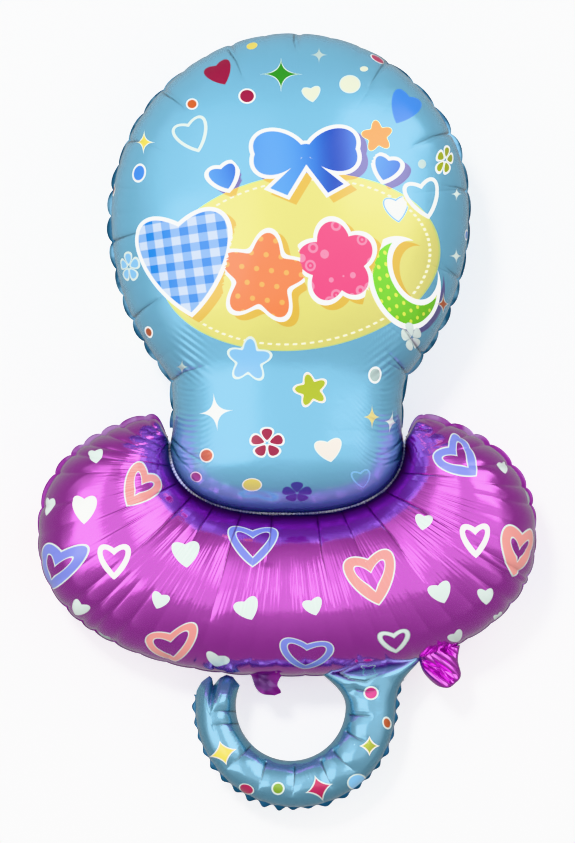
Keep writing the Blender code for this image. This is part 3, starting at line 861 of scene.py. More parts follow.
def print_panel(mesh, pixels, corners):
    """Gives every face its nearest large motif: corner places in its frame, kind, pattern and unit, and the
    way that its shadow falls in that frame."""
    found, places = motif_places(PANEL_MOTIFS, pixels, corners)
    local, unit = local_places(PANEL_MOTIFS, found, places)
    moved, _ = local_places(PANEL_MOTIFS, found, places - PANEL_SHADOW)
    kinds = np.array([[KINDS.index(m.kind), PATTERNS.index(m.ink)] for m in PANEL_MOTIFS], dtype=float)[found]
    store(mesh, "panel_at", "FLOAT_VECTOR", "CORNER", local)
    store(mesh, "panel_shadow_at", "FLOAT_VECTOR", "CORNER", moved)
    store(mesh, "panel_make", "FLOAT_VECTOR", "FACE", np.column_stack([kinds, unit]))


class Wire:
    """A socket's value that can be reckoned with: each operation adds one Math node to its tree."""

    def __init__(self, tree, socket):
        self.tree, self.socket = tree, socket

    def math(self, operation, *others):
        node = self.tree.nodes.new("ShaderNodeMath")
        node.operation = operation
        for k, value in enumerate((self, *others)):
            if isinstance(value, Wire):
                self.tree.links.new(value.socket, node.inputs[k])
            else:
                node.inputs[k].default_value = value
        return Wire(self.tree, node.outputs[0])

    __add__ = partialmethod(math, "ADD")
    __sub__ = partialmethod(math, "SUBTRACT")
    __mul__ = partialmethod(math, "MULTIPLY")
    __truediv__ = partialmethod(math, "DIVIDE")
    __pow__ = partialmethod(math, "POWER")
    __lt__ = partialmethod(math, "LESS_THAN")
    __gt__ = partialmethod(math, "GREATER_THAN")
    __abs__ = partialmethod(math, "ABSOLUTE")
    root = partialmethod(math, "SQRT")
    cosine = partialmethod(math, "COSINE")
    sine = partialmethod(math, "SINE")
    at_least = partialmethod(math, "MAXIMUM")
    at_most = partialmethod(math, "MINIMUM")
    modulo = partialmethod(math, "FLOORED_MODULO")

    def within(self, low, high):
        """1 where the value lies between low and high, and 0 elsewhere."""
        return (self > low) * (self < high)


def plane_length(u, v):
    """The distance of a place from its frame's middle."""
    return (u * u + v * v).root()


def heart_distance(across, up, cleft=0.76):
    """Distance to a heart, to first order. The heart is a circle, x^2 + w^2 = 1, sheared upwards on both
    sides by w = y - cleft |x|, so it stands on a point and has a cleft above. Its excess over 1 is divided by
    how fast that grows."""
    beside = abs(across)
    sheared = up - beside * cleft
    reach = plane_length(beside, sheared).at_least(0.001)
    growth = plane_length(beside - sheared * cleft, sheared) / reach
    return (reach - 1.0) / growth.at_least(0.4)


def star_distance(u, v, power):
    """How far outside a star with four hollow sides, |u|^power + |v|^power = 1, a place is, by scaled copies
    of the star, so that an outline narrows with its arms."""
    a, b = abs(u).at_least(0.001), abs(v).at_least(0.001)
    return ((a**power + b**power) ** (1.0 / power) - 1.0) * 0.5


def bow_distance(u, v):
    """Distance to a ribbon bow: two loops, which are hearts with a shallow cleft that touch tip to tip, a
    round knot over them and two slanting tails below it."""
    beside = abs(u)
    loops = heart_distance((v - 0.22) * 1.9, beside * 2.3 - 1.02, 0.35) * 0.45
    knot = plane_length(u, v - 0.22) - 0.17
    along_tail, across_tail = beside * 0.55 - v * 0.83, beside * 0.83 + v * 0.55
    tail = (abs(across_tail - 0.02) - along_tail * 0.12 - 0.07).at_least(abs(along_tail - 0.37) - 0.49)
    return loops.at_most(knot).at_most(tail)


def motif_group():
    """Node group that gives the distance from a place in a motif's frame to the edge of a motif of that kind,
    below 0 inside."""
    group = bpy.data.node_groups.get("motif distance")
    if group:
        return group
    tree = bpy.data.node_groups.new("motif distance", "ShaderNodeTree")
    tree.interface.new_socket("At", in_out="INPUT", socket_type="NodeSocketVector")
    tree.interface.new_socket("Kind", in_out="INPUT", socket_type="NodeSocketFloat")
    tree.interface.new_socket("Distance", in_out="OUTPUT", socket_type="NodeSocketFloat")
    entry, leave = tree.nodes.new("NodeGroupInput"), tree.nodes.new("NodeGroupOutput")
    split = tree.nodes.new("ShaderNodeSeparateXYZ")
    tree.links.new(entry.outputs["At"], split.inputs[0])
    u, v, kind = Wire(tree, split.outputs[0]), Wire(tree, split.outputs[1]), Wire(tree, entry.outputs["Kind"])
    radius = plane_length(u, v)
    angle = u.math("ARCTAN2", v)
    fifth = 2.0 * math.pi / 5.0
    fold = abs((angle + fifth / 2).modulo(fifth) - fifth / 2)
    ahead, aside = radius * fold.cosine(), radius * fold.sine()
    swing = (angle * 5.0).cosine()
    bite = plane_length(u - 0.44, v - 0.20) * -1.0 + 0.86
    shapes = (
        radius - 1.0,
        heart_distance(u, v),
        star_distance(u, v, 0.48),
        star_distance(u, v, 0.68),
        (radius - swing * 0.19 - 0.80) * 0.85,
        (plane_length((ahead - 0.54) / 0.46, aside / (ahead.at_least(0.0) * 0.44 + 0.11)) - 1.0) * 0.38,
        (radius - abs((angle * 2.5).cosine()) * 0.30 - 0.70) * 0.85,
        (radius - 1.0).at_least(bite),
        bow_distance(u, v),
    )
    total = None
    for number, shape in enumerate(shapes):
        chosen = kind.math("COMPARE", float(number), 0.5) * shape
        total = chosen if total is None else total + chosen
    tree.links.new(total.socket, leave.inputs["Distance"])
    return tree


class Film:
    """A material of metallised film, built up in layers of ink from the lacquer outwards."""

    def __init__(self, name, lacquer, metal, rough=0.0):
        self.material = bpy.data.materials.new(name)
        self.material.use_nodes = True
        self.tree = self.material.node_tree
        self.shader = self.tree.nodes["Principled BSDF"]
        self.colour, self.metal, self.rough = tuple(lacquer), metal, rough
        self.material.diffuse_color = (*lacquer, 1.0)

    def feed(self, socket, value):
        """Sets a socket to a colour or a number, or links it to what works one out."""
        if isinstance(value, Wire):
            self.tree.links.new(value.socket, socket)
        elif isinstance(value, bpy.types.NodeSocket):
            self.tree.links.new(value, socket)
        elif isinstance(value, tuple):
            socket.default_value = (*value, 1.0)
        else:
            socket.default_value = value

    def attribute(self, name, output="Vector"):
        node = self.tree.nodes.new("ShaderNodeAttribute")
        node.attribute_name = name
        return node.outputs[output]

    def split(self, socket):
        node = self.tree.nodes.new("ShaderNodeSeparateXYZ")
        self.tree.links.new(socket, node.inputs[0])
        return [Wire(self.tree, out) for out in node.outputs]

    def mixed(self, share, low, high):
        """The colour low where share is 0 and high where it is 1."""
        node = self.tree.nodes.new("ShaderNodeMix")
        node.data_type = "RGBA"
        self.tree.links.new(share.socket, node.inputs[0])
        self.feed(node.inputs[6], low)
        self.feed(node.inputs[7], high)
        return node.outputs[2]

    def layer(self, share, colour, metal, rough):
        """Covers what is there with an ink, where share is 1."""
        self.colour = self.mixed(share, self.colour, colour)
        rest = share * -1.0 + 1.0
        self.metal = rest * self.metal + share * metal
        self.rough = rest * self.rough + share * rough

    def distance(self, at, kind):
        """The distance to a motif's edge."""
        node = self.tree.nodes.new("ShaderNodeGroup")
        node.node_tree = motif_group()
        self.tree.links.new(at, node.inputs["At"])
        self.tree.links.new(kind.socket, node.inputs["Kind"])
        return Wire(self.tree, node.outputs["Distance"])

    def noise(self, scale, detail, distortion=0.0):
        """Noise over the object's own coordinates."""
        place, node = self.tree.nodes.new("ShaderNodeTexCoord"), self.tree.nodes.new("ShaderNodeTexNoise")
        for key, value in (("Scale", scale), ("Detail", detail), ("Distortion", distortion)):
            node.inputs[key].default_value = value
        self.tree.links.new(place.outputs["Object"], node.inputs["Vector"])
        return Wire(self.tree, node.outputs["Fac"])

    def finish(self, bump=None, strength=0.1, distance=0.001, coat=0.35, gloss=1.5):
        """Wires the layers to the shader, sets its clear coat and returns the material."""
        for key, value in (
            ("Base Color", self.colour), ("Metallic", self.metal), ("Roughness", self.rough),
            ("Coat Weight", coat), ("Coat Roughness", 0.08), ("Coat IOR", gloss),
        ):
            self.feed(self.shader.inputs[key], value)
        if bump is not None:
            node = self.tree.nodes.new("ShaderNodeBump")
            node.inputs["Strength"].default_value = strength
            node.inputs["Distance"].default_value = distance
            self.feed(node.inputs["Height"], bump)
            self.feed(self.shader.inputs["Normal"], node.outputs[0])
        return self.material


def add_motifs(film):
    """Lays the small motifs on a film: a line, a band inside it and for an open motif a second line."""
    kind, line, band = film.split(film.attribute("motif_make"))
    depth = film.distance(film.attribute("motif_at"), kind) * -1.0
    inside = depth > 0.0
    filled = (depth > line) * (depth < line + band)
    within = inside * (depth < line * 2.0 + band)
    film.layer(within, film.attribute("motif_line", "Color"), 0.35, 0.30)
    film.layer(filled, film.attribute("motif_ink", "Color"), 0.30, 0.34)


def add_panel(film):
    """Lays the yellow oval with its stitches on a film, then the large motifs with their patterns, white
    outlines and shadows."""
    x, y, _ = film.split(film.attribute("print_at"))
    turn = math.radians(PANEL_TURN)
    right, down = x - PANEL_CENTRE[0], y - PANEL_CENTRE[1]
    u = (right * math.cos(turn) - down * math.sin(turn)) / PANEL_HALF_SIZES[0]
    v = (right * math.sin(turn) + down * math.cos(turn)) / PANEL_HALF_SIZES[1]
    reach = plane_length(u, v)
    oval = reach < 1.0
    inset = STITCH_INSET / PANEL_HALF_SIZES[1]
    girth = math.pi * sum(PANEL_HALF_SIZES)
    dash = (u.math("ARCTAN2", v) * round(girth / STITCH_PITCH)).sine() > 0.0
    stitch = reach.within(1.0 - inset - 0.009, 1.0 - inset + 0.009) * dash
    film.layer(oval, PANEL_INK, 0.35, 0.30)
    film.layer(oval * (reach > 0.988), PANEL_RIM_INK, 0.35, 0.30)
    film.layer(stitch, STITCH_INK, 0.1, 0.4)
    kind, pattern, unit = film.split(film.attribute("panel_make"))
    line = unit ** -1.0 * PANEL_LINE
    shadow = film.distance(film.attribute("panel_shadow_at"), kind) < line
    film.layer(shadow, film.mixed(oval, SHADOW_ON_FILM, SHADOW_ON_PANEL), 0.3, 0.32)
    at = film.attribute("panel_at")
    depth = film.distance(at, kind)
    film.layer(depth < line, PANEL_LINE_INK, 0.05, 0.32)
    across, up, _ = film.split(at)
    across, up = across * unit, up * unit
    ink = pattern_ink(film, pattern, across, up)
    film.layer(depth < 0.0, ink, 0.22, 0.32)


def pattern_ink(film, pattern, across, up):
    """The colour of each pattern at a place in pixels, chosen by the pattern's number."""
    cell = math.pi / 9.0
    one, two = (across * cell).sine() > 0.0, (up * cell).sine() > 0.0
    pale, middle, deep = (0.62, 0.74, 0.92), (0.20, 0.42, 0.80), (0.0, 0.16, 0.52)
    gingham = film.mixed(one * two, film.mixed(one.at_least(two), pale, middle), deep)
    dots = []
    for pitch, radius in ((15.0, 2.6), (7.5, 1.5)):
        aside = across + (up / pitch).math("FLOOR").math("PINGPONG", 1.0) * (pitch / 2)
        dots.append(plane_length(aside.modulo(pitch) - pitch / 2, up.modulo(pitch) - pitch / 2) < radius)
    orange = film.mixed(dots[0], (0.88, 0.20, 0.02), (0.90, 0.45, 0.05))
    green = film.mixed(dots[1], (0.13, 0.42, 0.02), (0.55, 0.62, 0.06))
    place = film.tree.nodes.new("ShaderNodeCombineXYZ")
    cells = film.tree.nodes.new("ShaderNodeTexVoronoi")
    film.tree.links.new(across.socket, place.inputs[0])
    film.tree.links.new(up.socket, place.inputs[1])
    film.tree.links.new(place.outputs[0], cells.inputs["Vector"])
    cells.inputs["Scale"].default_value = 1.0 / 15.0
    gap = Wire(film.tree, cells.outputs["Distance"])
    rings = gap.within(0.22, 0.36).at_least(gap < 0.09)
    pink = film.mixed(rings, (0.74, 0.03, 0.18), (0.84, 0.22, 0.40))
    shade = (across * 0.05).sine() * 0.5 + 0.5
    blue = film.mixed(shade, (0.05, 0.30, 0.74), (0.004, 0.04, 0.28))
    ink = gingham
    for number, colour in enumerate((orange, pink, green, blue), start=1):
        ink = film.mixed(pattern.math("COMPARE", float(number), 0.5), ink, colour)
    return ink


def foil(name, lacquer, roughness, metal, motifs=True, panel=False, crinkle=0.25, gloss=1.5):
    """Lacquered foil: the lacquer a little uneven, with its print, painted shade that darkens it down in the
    creases and folds and beside the shield's weld, a painted reflection of the shield that tints the teat
    violet-blue beside the weld, and a fine crinkle in the film. The milkier a lacquer is, the less metal
    shows through it.
    gloss is the refractive index of the clear coat, which lays white highlights over the coloured ones."""
    film = Film(name, lacquer, metal)
    film.rough = film.noise(9.0, 3.0) * 0.06 + (roughness - 0.03)
    if panel:
        add_panel(film)
    if motifs:
        add_motifs(film)
    fold = Wire(film.tree, film.attribute("fold", "Fac"))
    shade = tuple(CREASE_SHADE * c for c in lacquer)
    # Painted reflection: below 0 the fold number tints the teat violet-blue beside the weld, for the shield
    # mirrored there.
    film.layer((fold * -0.45).at_least(0.0), PAINTED_WELD_REFLECTION, 0.35, 0.22)
    # Painted shade: deep in creases and folds and beside the shield's weld the lacquer is darkened towards
    # CREASE_SHADE times itself.
    film.colour = film.mixed((fold * 1.3 - 0.25).at_least(0.0).at_most(0.9), film.colour, shade)
    fine = film.noise(55.0, 3.0, distortion=0.6) + film.noise(260.0, 1.0) * 0.12
    return film.finish(fine, strength=crinkle, distance=0.0012, coat=0.8, gloss=gloss)


def margin_foil(name, dark, light, metal=0.75):
    """Film of a seam margin: mostly the colour dark, which on the curled-back margins is painted shade, paler
    in noise patches that are a painted highlight where it catches the light, and knurled by the welding jaws."""
    film = Film(name, dark, metal, 0.32)
    # Painted highlight: paler patches where noise says the film catches the light.
    painted_highlight = (film.noise(38.0, 3.0) - 0.46) * 7.0
    film.colour = film.mixed(painted_highlight.at_most(1.0).at_least(0.0), tuple(dark), light)
    return film.finish(film.noise(420.0, 1.0), strength=0.35, distance=0.0006)


def add_piece(name, grids, material):
    """Makes a mesh of the grids and puts it into the scene as a piece that stands for the envelope and rides
    on the body. Returns what closed_mesh does."""
    mesh, corners = closed_mesh(name, grids)
    mesh.materials.append(material)
    piece = bpy.data.objects.new(mesh.name, mesh)
    bpy.context.scene.collection.objects.link(piece)
    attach(piece, "root")
    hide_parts("foil_envelope")
    return mesh, corners


def teat_gathers(whole, where):
    """Where the teat's seam is gathered and how strongly, and at which of these places a crease starts."""
    marks = nearest_along(whole, where, on_seam([route[0] for route in TEAT_CREASES]))
    return *gathers(marks, where[-1], 0.3), marks


def teat_ribs():
    """The teat's columns: distances round the outline, outline points, rib centres, and for each column how
    full and how strongly gathered the seam is there, and how much of it is weld."""
    whole, centre_y = teat_outline()
    where = along(whole)
    places, strength, marks = teat_gathers(whole, where)
    neck = nearest_along(whole, where, on_seam([(404, 425), (170, 425)]))
    crowds = [(place, *CREASE_CROWD) for mark in marks for place in (mark, where[-1] - mark)]
    crowds += [(place, *NECK_CROWD) for place in neck]
    half = crowded(where[-1], TEAT_COLUMNS, crowds)[: TEAT_COLUMNS // 2 + 1]
    half[-1] = where[-1] / 2
    at = np.concatenate([half, where[-1] - half[-2::-1]])
    outline = read_at(whole, where, at)
    centre = np.stack([np.zeros(len(at)), np.interp(at, where, centre_y)], axis=-1)
    full, pull = fullness(at, places, strength)
    at_weld = 1.0 - smooth_step((outline[:, 1] + 0.01) / 0.03)
    return at, outline, centre, full, pull * (1.0 - at_weld), at_weld


def teat_sheet(sizes, rows, side):
    """One sheet of the teat, from its seam to its ribs' centres: the frame's dome, pressed in at the gathers,
    with the creases and wrinkles of the film. side is 1 for the front and -1 for the back. Comes with the
    sheet's first and last rows let down into the seam plane, where its cap lies."""
    at, outline, centre, full, pull, at_weld = teat_ribs()
    rib = outline - centre
    length = np.linalg.norm(rib, axis=1)
    aside = smooth_step((np.abs(outline[:, 0]) / BULB_RADIUS - 0.35) / 0.4)
    lip = TEAT_LIP + TEAT_SIDE_LIP * aside + sizes.gather_depth * pull * (1.0 - full) ** 2
    inset = (lip + (sizes.weld_gap - lip) * at_weld) / length
    ring = np.cos(np.linspace(0.0, np.pi / 2, rows + 1))[None, :]
    ring[0, -1] = 0.0
    body = beside(centre, rib, ring)
    height = teat_height(body[..., 0], body[..., 1])
    from_seam = (1.0 - ring) * length[:, None]
    height = height * (1.0 - TEAT_PRESS * (pull * (1.0 - full))[:, None] * np.exp(-from_seam / 0.009) * ring)
    height[:, 0] = 0.0
    flat = leaned(beside(centre, rib, ring * (1.0 - inset[:, None] * ring**7)))
    sheet = raised(flat, side * height)
    film, seen = rolled_out(sheet, -1), shown(sheet)
    gathered = ((1.0 - at_weld) * line_noise(at, 0.0075, 12))[:, None]
    relief = waves(seen, *TEAT_WAVES) + 0.0001 * np.exp(-from_seam / 0.016) * ring * gathered
    dents, fold = creased(seen, TEAT_CREASES + NECK_CREASES, sizes, *TEAT_TROUGH)
    relief = relief + dents + sizes.wrinkle_height * neck_wrinkles(seen)
    # Below 0 the fold number marks the film beside the weld, where the foil paints a reflection of the
    # shield.
    fold = np.where(fold < 0.15, -at_weld[:, None] * np.exp(-from_seam / 0.020), fold)
    sheet[..., 2] += side * relief * smooth_step(height / 0.012)
    return np.concatenate([sheet, fold[..., None], film], axis=-1), raised(flat, 0.0 * height)[:, [0, -1]]


def neck_wrinkles(seen):
    """Level wrinkles on both flanks of the neck, uneven in height and bent upwards towards the flank, and
    steeper ones where the bulb runs into the neck."""
    x, y = seen[..., 0] - PHOTO_ORIGIN[0], seen[..., 1]
    aside = np.abs(x)
    flank = np.exp(-(((aside - WRINKLE_X) / 15.0) ** 2))
    level = smooth_step((y - 376.0) / 22.0) * smooth_step((470.0 - y) / 12.0)
    bend = 7.0 * ((aside - WRINKLE_X) / 20.0) ** 2
    line = y + np.where(x < 0, bend, 1.3 * bend)
    strength = 0.62 + 0.38 * line_noise(line, 6.1, 21)
    wave = np.sin(2 * np.pi * line / WRINKLE_PITCH + 1.3 * line_noise(line, 11.0, 22))
    shoulder = np.exp(-(((aside - SHOULDER_X) / 14.0) ** 2)) * smooth_step((y - 318.0) / 24.0)
    slope = y + 0.75 * aside
    fan = np.sin(2 * np.pi * slope / SHOULDER_PITCH + line_noise(slope, 17.0, 23))
    return wave * strength * flank * level + 0.55 * shoulder * smooth_step((392.0 - y) / 22.0) * fan


def strip(line, away, inner, outer, drop):
    """A strip along a line of points in the plane: from inner to outer beside it, and bent down by drop times
    the square of the share of its width."""
    share = np.linspace(0.0, 1.0, 5)[None, :]
    distance = inner[:, None] + (outer - inner)[:, None] * share
    return raised(beside(line, away, distance), -drop[:, None] * share**2)


def slab(surface, thickness):
    """A surface made solid: the same grid above and below by half the thickness, and its four sides."""
    lift = np.array([0.0, 0.0, thickness / 2])
    top, foot = surface + lift, surface - lift
    return [
        (top, False, False, (0.0, 0.5, 1.0, 0.9)),
        (foot, True, False, (0.0, 0.05, 1.0, 0.45)),
        (np.stack([foot[:, 0], top[:, 0]], axis=1), False, False, (0.0, 0.0, 1.0, 0.04)),
        (np.stack([top[:, -1], foot[:, -1]], axis=1), False, False, (0.0, 0.92, 0.9, 0.96)),
        (np.stack([foot[0], top[0]]), True, False, (0.92, 0.92, 0.95, 0.96)),
        (np.stack([top[-1], foot[-1]]), True, False, (0.96, 0.92, 0.99, 0.96)),
    ]


def teat_margin(sizes):
    """The teat's seam margin: it curls back behind the front sheet, and its outer edge peeps out between the
    gathers, most on the bulb's two sides."""
    whole, _ = teat_outline()
    where = along(whole)
    places, strength, _ = teat_gathers(whole, where)
    at = np.linspace(*nearest_along(whole, where, on_seam([(402, 428), (172, 428)])), MARGIN_COLUMNS)
    line = read_at(whole, where, at)
    full, pull = fullness(at, places, strength)
    sideways = np.abs(line[:, 0]) / BULB_RADIUS
    shows = 0.25 + 0.75 * smooth_step((sideways - 0.35) / 0.5)
    shows = shows * (0.8 + 0.35 * line_noise(at, 0.05, 31))
    outer = -0.0034 + 0.0050 * full * shows - 0.0006 * pull * (1.0 - full)
    inner, drop = np.full(len(at), -0.0075), 0.0016 + 0.0030 * full
    away = outward(line, np.array([0.0, BULB_Y]))
    return slab(strip(leaned(line), away, inner, outer, drop), sizes.film)


def lobe_gathers(line, where):
    """Where the shield's seam is gathered, and how strongly."""
    return gathers(nearest_along(line, where, on_seam(LOBE_GATHERS)), where[-1], 0.4)


def shield_ribs():
    """The shield's columns from the left notch to the right one: share of the way, points on the weld and on
    the outer edge, fullness and strength of the gathers, how much of the column is on a lobe, and the share
    left to the nearer notch. The first and last columns shrink to a point in the notch."""
    outer, weld = shield_outline(), weld_line()
    outer_at, weld_at = along(outer), along(weld)
    places, strength = lobe_gathers(outer, outer_at)
    t = np.linspace(0.0, 1.0, SHIELD_COLUMNS + 1)
    at = t * outer_at[-1]
    edge = read_at(outer, outer_at, at)
    paired = t - RIB_SWAY * np.sin(2.0 * np.pi * t)
    root = leaned(read_at(weld, weld_at, paired * weld_at[-1]))
    full, pull = fullness(at, places, strength)
    end = np.minimum(t, 1.0 - t)
    shut = (1.0 - smooth_step(end / 0.012))[:, None]
    middle = (edge + root) / 2
    on_lobe = smooth_step((edge[:, 1] + 0.10) / 0.06)
    return t, root + shut * (middle - root), edge + shut * (middle - edge), full, pull, on_lobe, end


def shield_sheet(sizes, rows, side):
    """One sheet of the shield: arches that stand between the weld and the outer edge, pressed in at the
    gathers, with the long creases, the fine ribs and the crumples beside the notches. Comes with its first
    and last rows in the seam plane, as teat_sheet does."""
    t, root, edge, full, pull, on_lobe, end = shield_ribs()
    chord = edge - root
    length = np.maximum(np.linalg.norm(chord, axis=1), 1e-9)
    crown = SHIELD_CROWN * np.sin(np.clip(length / SHIELD_FULL_CHORD, 0.0, 1.0) * np.pi / 2)
    crown = crown * (1.0 + LOBE_GAIN * (2.0 * t - 1.0) ** 2) * smooth_step(end / 0.010)
    turn, v = arch(rows)
    short = np.clip(length / 0.02, 0.0, 1.0) / length
    inner = sizes.weld_gap * short
    lip = (SHIELD_LIP + SHIELD_LOBE_LIP * on_lobe + sizes.gather_depth * pull * (1.0 - full)) * short
    share = inner[:, None] + (1.0 - inner - lip)[:, None] * v[None, :]
    flat = beside(root, chord, share)
    height = crown[:, None] * np.sin(turn)[None, :]
    height[:, 0] = height[:, -1] = 0.0
    from_edge = (1.0 - v)[None, :] * length[:, None]
    height = height * (1.0 - SHIELD_PRESS * (pull * (1.0 - full))[:, None] * np.exp(-from_edge / 0.018))
    sheet = raised(flat, side * height)
    film, seen = rolled_out(sheet, rows // 2), shown(sheet)
    dents, fold = creased(seen, SHIELD_CREASES, sizes, *SHIELD_TROUGH)
    crumples = notch_crumples(seen)
    relief = waves(seen, *SHIELD_WAVES) + dents - 0.9 * sizes.crease_depth * crumples
    crushed = (facets(seen, (15.0, 11.0, 8.0), (1.0, 1.0, 1.0), 48) - 1.9) * patches(seen, CRUSHED)
    relief = relief + NOTCH_CRUSH * crushed + sizes.rib_height * fine_ribs(t, v, seen)
    # Painted shade: the fold number also rises beside the weld and in the crumples, where the foil darkens
    # the lacquer.
    fold = np.maximum(np.maximum(fold, 0.75 * np.exp(-share * length[:, None] / 0.009)), 0.45 * crumples)
    sheet[..., 2] += side * relief * smooth_step(height / 0.012)
    return np.concatenate([sheet, fold[..., None], film], axis=-1), raised(flat, 0.0 * height)[:, [0, -1]]


def patches(seen, places):
    """Soft oval patches over the picture, each from its middle, half sizes and strength."""
    total = np.zeros(seen.shape[:-1])
    for x, y, wide, high, strength in places:
        total += strength * np.exp(-(((seen[..., 0] - x) / wide) ** 2) - ((seen[..., 1] - y) / high) ** 2)
    return total


def fine_ribs(t, v, seen):
    """Fine ribs that run outward from the weld: waves along the shield with several pitches, strongest half
    way up the arch and in the patches where the film is gathered most."""
    rng = np.random.default_rng(43)
    profile = np.zeros_like(t)
    for count in (104.0, 139.0, 171.0, 214.0, 247.0):
        profile += rng.uniform(0.5, 1.0) * np.sin(2 * np.pi * count * t + rng.uniform(0.0, 2 * np.pi))
    profile = profile * (0.35 + 0.65 * smooth_step(0.5 + 0.9 * line_noise(t, 0.045, 44)))
    peak = 0.40 + 0.05 * line_noise(t, 0.05, 45)
    spread = 0.20 + 0.06 * line_noise(t, 0.07, 46)
    band = np.exp(-(((v[None, :] - peak[:, None]) / spread[:, None]) ** 2))
    gathered = 0.45 + patches(seen, RIBBED)
    return profile[:, None] * band * gathered * (1.0 - smooth_step((v - 0.72) / 0.12))[None, :]


def notch_crumples(seen):
    """Short creases that fan out from both notches, where the film is crushed most."""
    rng = np.random.default_rng(47)
    total = np.zeros(seen.shape[:-1])
    for centre, low, high in (((172.0, 436.0), 115.0, 235.0), ((402.0, 432.0), -60.0, 70.0)):
        for k in range(9):
            turn = math.radians(low + (high - low) * (k + rng.uniform(-0.3, 0.3)) / 8)
            way = np.array([math.cos(turn), -math.sin(turn)])
            start = np.array(centre) + way * rng.uniform(2.0, 9.0)
            stop = start + way * rng.uniform(14.0, 42.0)
            bow = np.array([way[1], -way[0]]) * rng.uniform(-4.0, 4.0)
            route = (start, (start + stop) / 2 + bow, stop)
            total = np.maximum(total, rng.uniform(0.5, 1.0) * groove(seen, route, 1.3))
    return total


def shield_margin(sizes):
    """The shield's seam margin: a flat scalloped band along the lobes, narrower along the lower edge."""
    line = shield_outline()
    where = along(line)
    places, strength = lobe_gathers(line, where)
    at = np.linspace(0.004, where[-1] - 0.004, MARGIN_COLUMNS)
    line = read_at(line, where, at)
    full, pull = fullness(at, places, strength)
    on_lobe = smooth_step((line[:, 1] + 0.12) / 0.06)
    outer = -0.0012 + (0.0010 + 0.0016 * on_lobe) * full - 0.0014 * pull * (1.0 - full)
    drop = 0.0020 * (1.0 - 0.6 * on_lobe) * full
    away = outward(line, np.array([0.0, SHIELD_Y]))
    return slab(strip(line, away, -0.0060 - 0.0015 * on_lobe, outer, drop), sizes.film)


def handle_sheets(sizes):
    """Both sheets of the handle: arches across the ring, flared and flattened where it leaves the shield. The
    free end stops further from or nearer to the shield across the ring, is pinched flat, and creases cross
    the crown."""
    c = np.linspace(0.0, 1.0, HANDLE_COLUMNS + 1)[:, None]
    turn, v = (values[None, :] for values in arch(HANDLE_ROWS))
    radius = (HANDLE_MEAN_RADIUS + (2.0 * v - 1.0) * HANDLE_HALF_WIDTH) / PIXEL
    start = np.radians(HANDLE_ROOT_RISE)
    end = np.radians(-180.0 - np.interp(radius, END_RADII, END_RISES))
    angle = start + (end - start) * c
    inner, outer = handle_rails(angle)
    across = outer - inner
    width = np.linalg.norm(across, axis=-1)
    flat = inner + across * (HANDLE_INNER_LIP / width + (1.0 - HANDLE_LIPS / width) * v)[..., None]
    left = np.degrees(angle - end)
    rooted = 0.30 + 0.70 * smooth_step(np.degrees(start - angle) / 20.0)
    height = HANDLE_CROWN * np.sqrt(smooth_step(left / END_PINCH_ANGLE)) * rooted * np.sin(turn)
    height[:, 0] = height[:, -1] = height[0] = height[-1] = 0.0
    seen = shown(raised(flat, height))
    relief, fold = creased(seen, HANDLE_CREASES, sizes, *HANDLE_TROUGH)
    root_fold, pinch = groove(seen, ROOT_FOLD, 2.6), groove(seen, END_PINCH, 2.6)
    relief = relief + waves(seen, *HANDLE_WAVES) - 0.0034 * root_fold - 0.0050 * pinch
    # Painted shade: the root fold and the pinch darken the lacquer through the fold number.
    fold = np.maximum(fold, np.maximum(root_fold, pinch))
    relief = relief + 0.00018 * line_noise(c[:, 0], 0.006, 52)[:, None] * np.exp(-v / 0.25)
    height = height + relief * smooth_step(height / 0.008)
    return [
        (raised(flat, side * height, fold[..., None], seen), side < 0, True, tile)
        for side, tile in ((1.0, (0.0, 0.0, 1.0, 0.78)), (-1.0, (0.0, 0.8, 1.0, 1.0)))
    ]


def handle_margin(sizes):
    """The handle's outer seam margin, which stands out in dark scallops between the film's gathers."""
    angle = np.radians(np.linspace(HANDLE_ROOT_RISE - 26.0, -180.0 - END_RISES[-1], HANDLE_MARGIN_COLUMNS))
    _, line = handle_rails(angle)
    where = along(line)
    turns = where / SCALLOP_PITCH + 0.25 * line_noise(where, 0.05, 53)
    rise = np.sin(np.pi * turns) ** 2
    strength = 0.65 + 0.35 * line_noise(where, 0.03, 54)
    outer, away = -0.0022 + SCALLOP_HEIGHT * rise * strength, outward(line, handle_middle())
    return slab(strip(line, away, np.full(len(where), -0.0065), outer, 0.0010 + 0.0016 * rise), sizes.film)


def weld_cord(sizes):
    """The knurled line of the weld: a fine tube along it, whose radius swells once every 4 mm, with its ends
    drawn in to a point."""
    line = leaned(weld_line())
    where = along(line)
    at = np.linspace(0.0, where[-1], WELD_COLUMNS)
    line = read_at(line, where, at)
    away = outward(line, np.array([0.0, BULB_Y]))
    end = np.minimum(at, at[-1] - at)
    radius = sizes.weld_radius * (1.0 + WELD_BEADS * np.cos(2.0 * np.pi * at / WELD_PITCH))
    radius = radius * np.sqrt(smooth_step(end / 0.003))
    turn = np.linspace(0.0, 2.0 * np.pi, 11)
    turn[-1] = 0.0
    height = WELD_LIFT + radius[:, None] * np.sin(turn)[None, :]
    height[[0, -1]] = WELD_LIFT
    flat = beside(line, away, radius[:, None] * np.cos(turn)[None, :])
    return [(raised(flat, height), False, False, (0.0, 0.0, 1.0, 1.0))]


def tab_sheet(sizes):
    """The small flat tab: a sheet between its two edges, a little waved, more so towards its end, and made
    solid.
    """
    left, right = (on_seam(smooth_route(route, TAB_ROWS)) for route in TAB_EDGES)
    flat = beside(left, right - left, np.linspace(0.0, 1.0, 40)[None, :])
    down = np.linspace(0.0, 1.0, TAB_ROWS)[:, None]
    height = waves(on_photo(flat), *TAB_WAVES) * (0.3 + 0.7 * down) + 0.0018 * np.sin(3.0 * down)
    return slab(raised(flat, height), sizes.film)


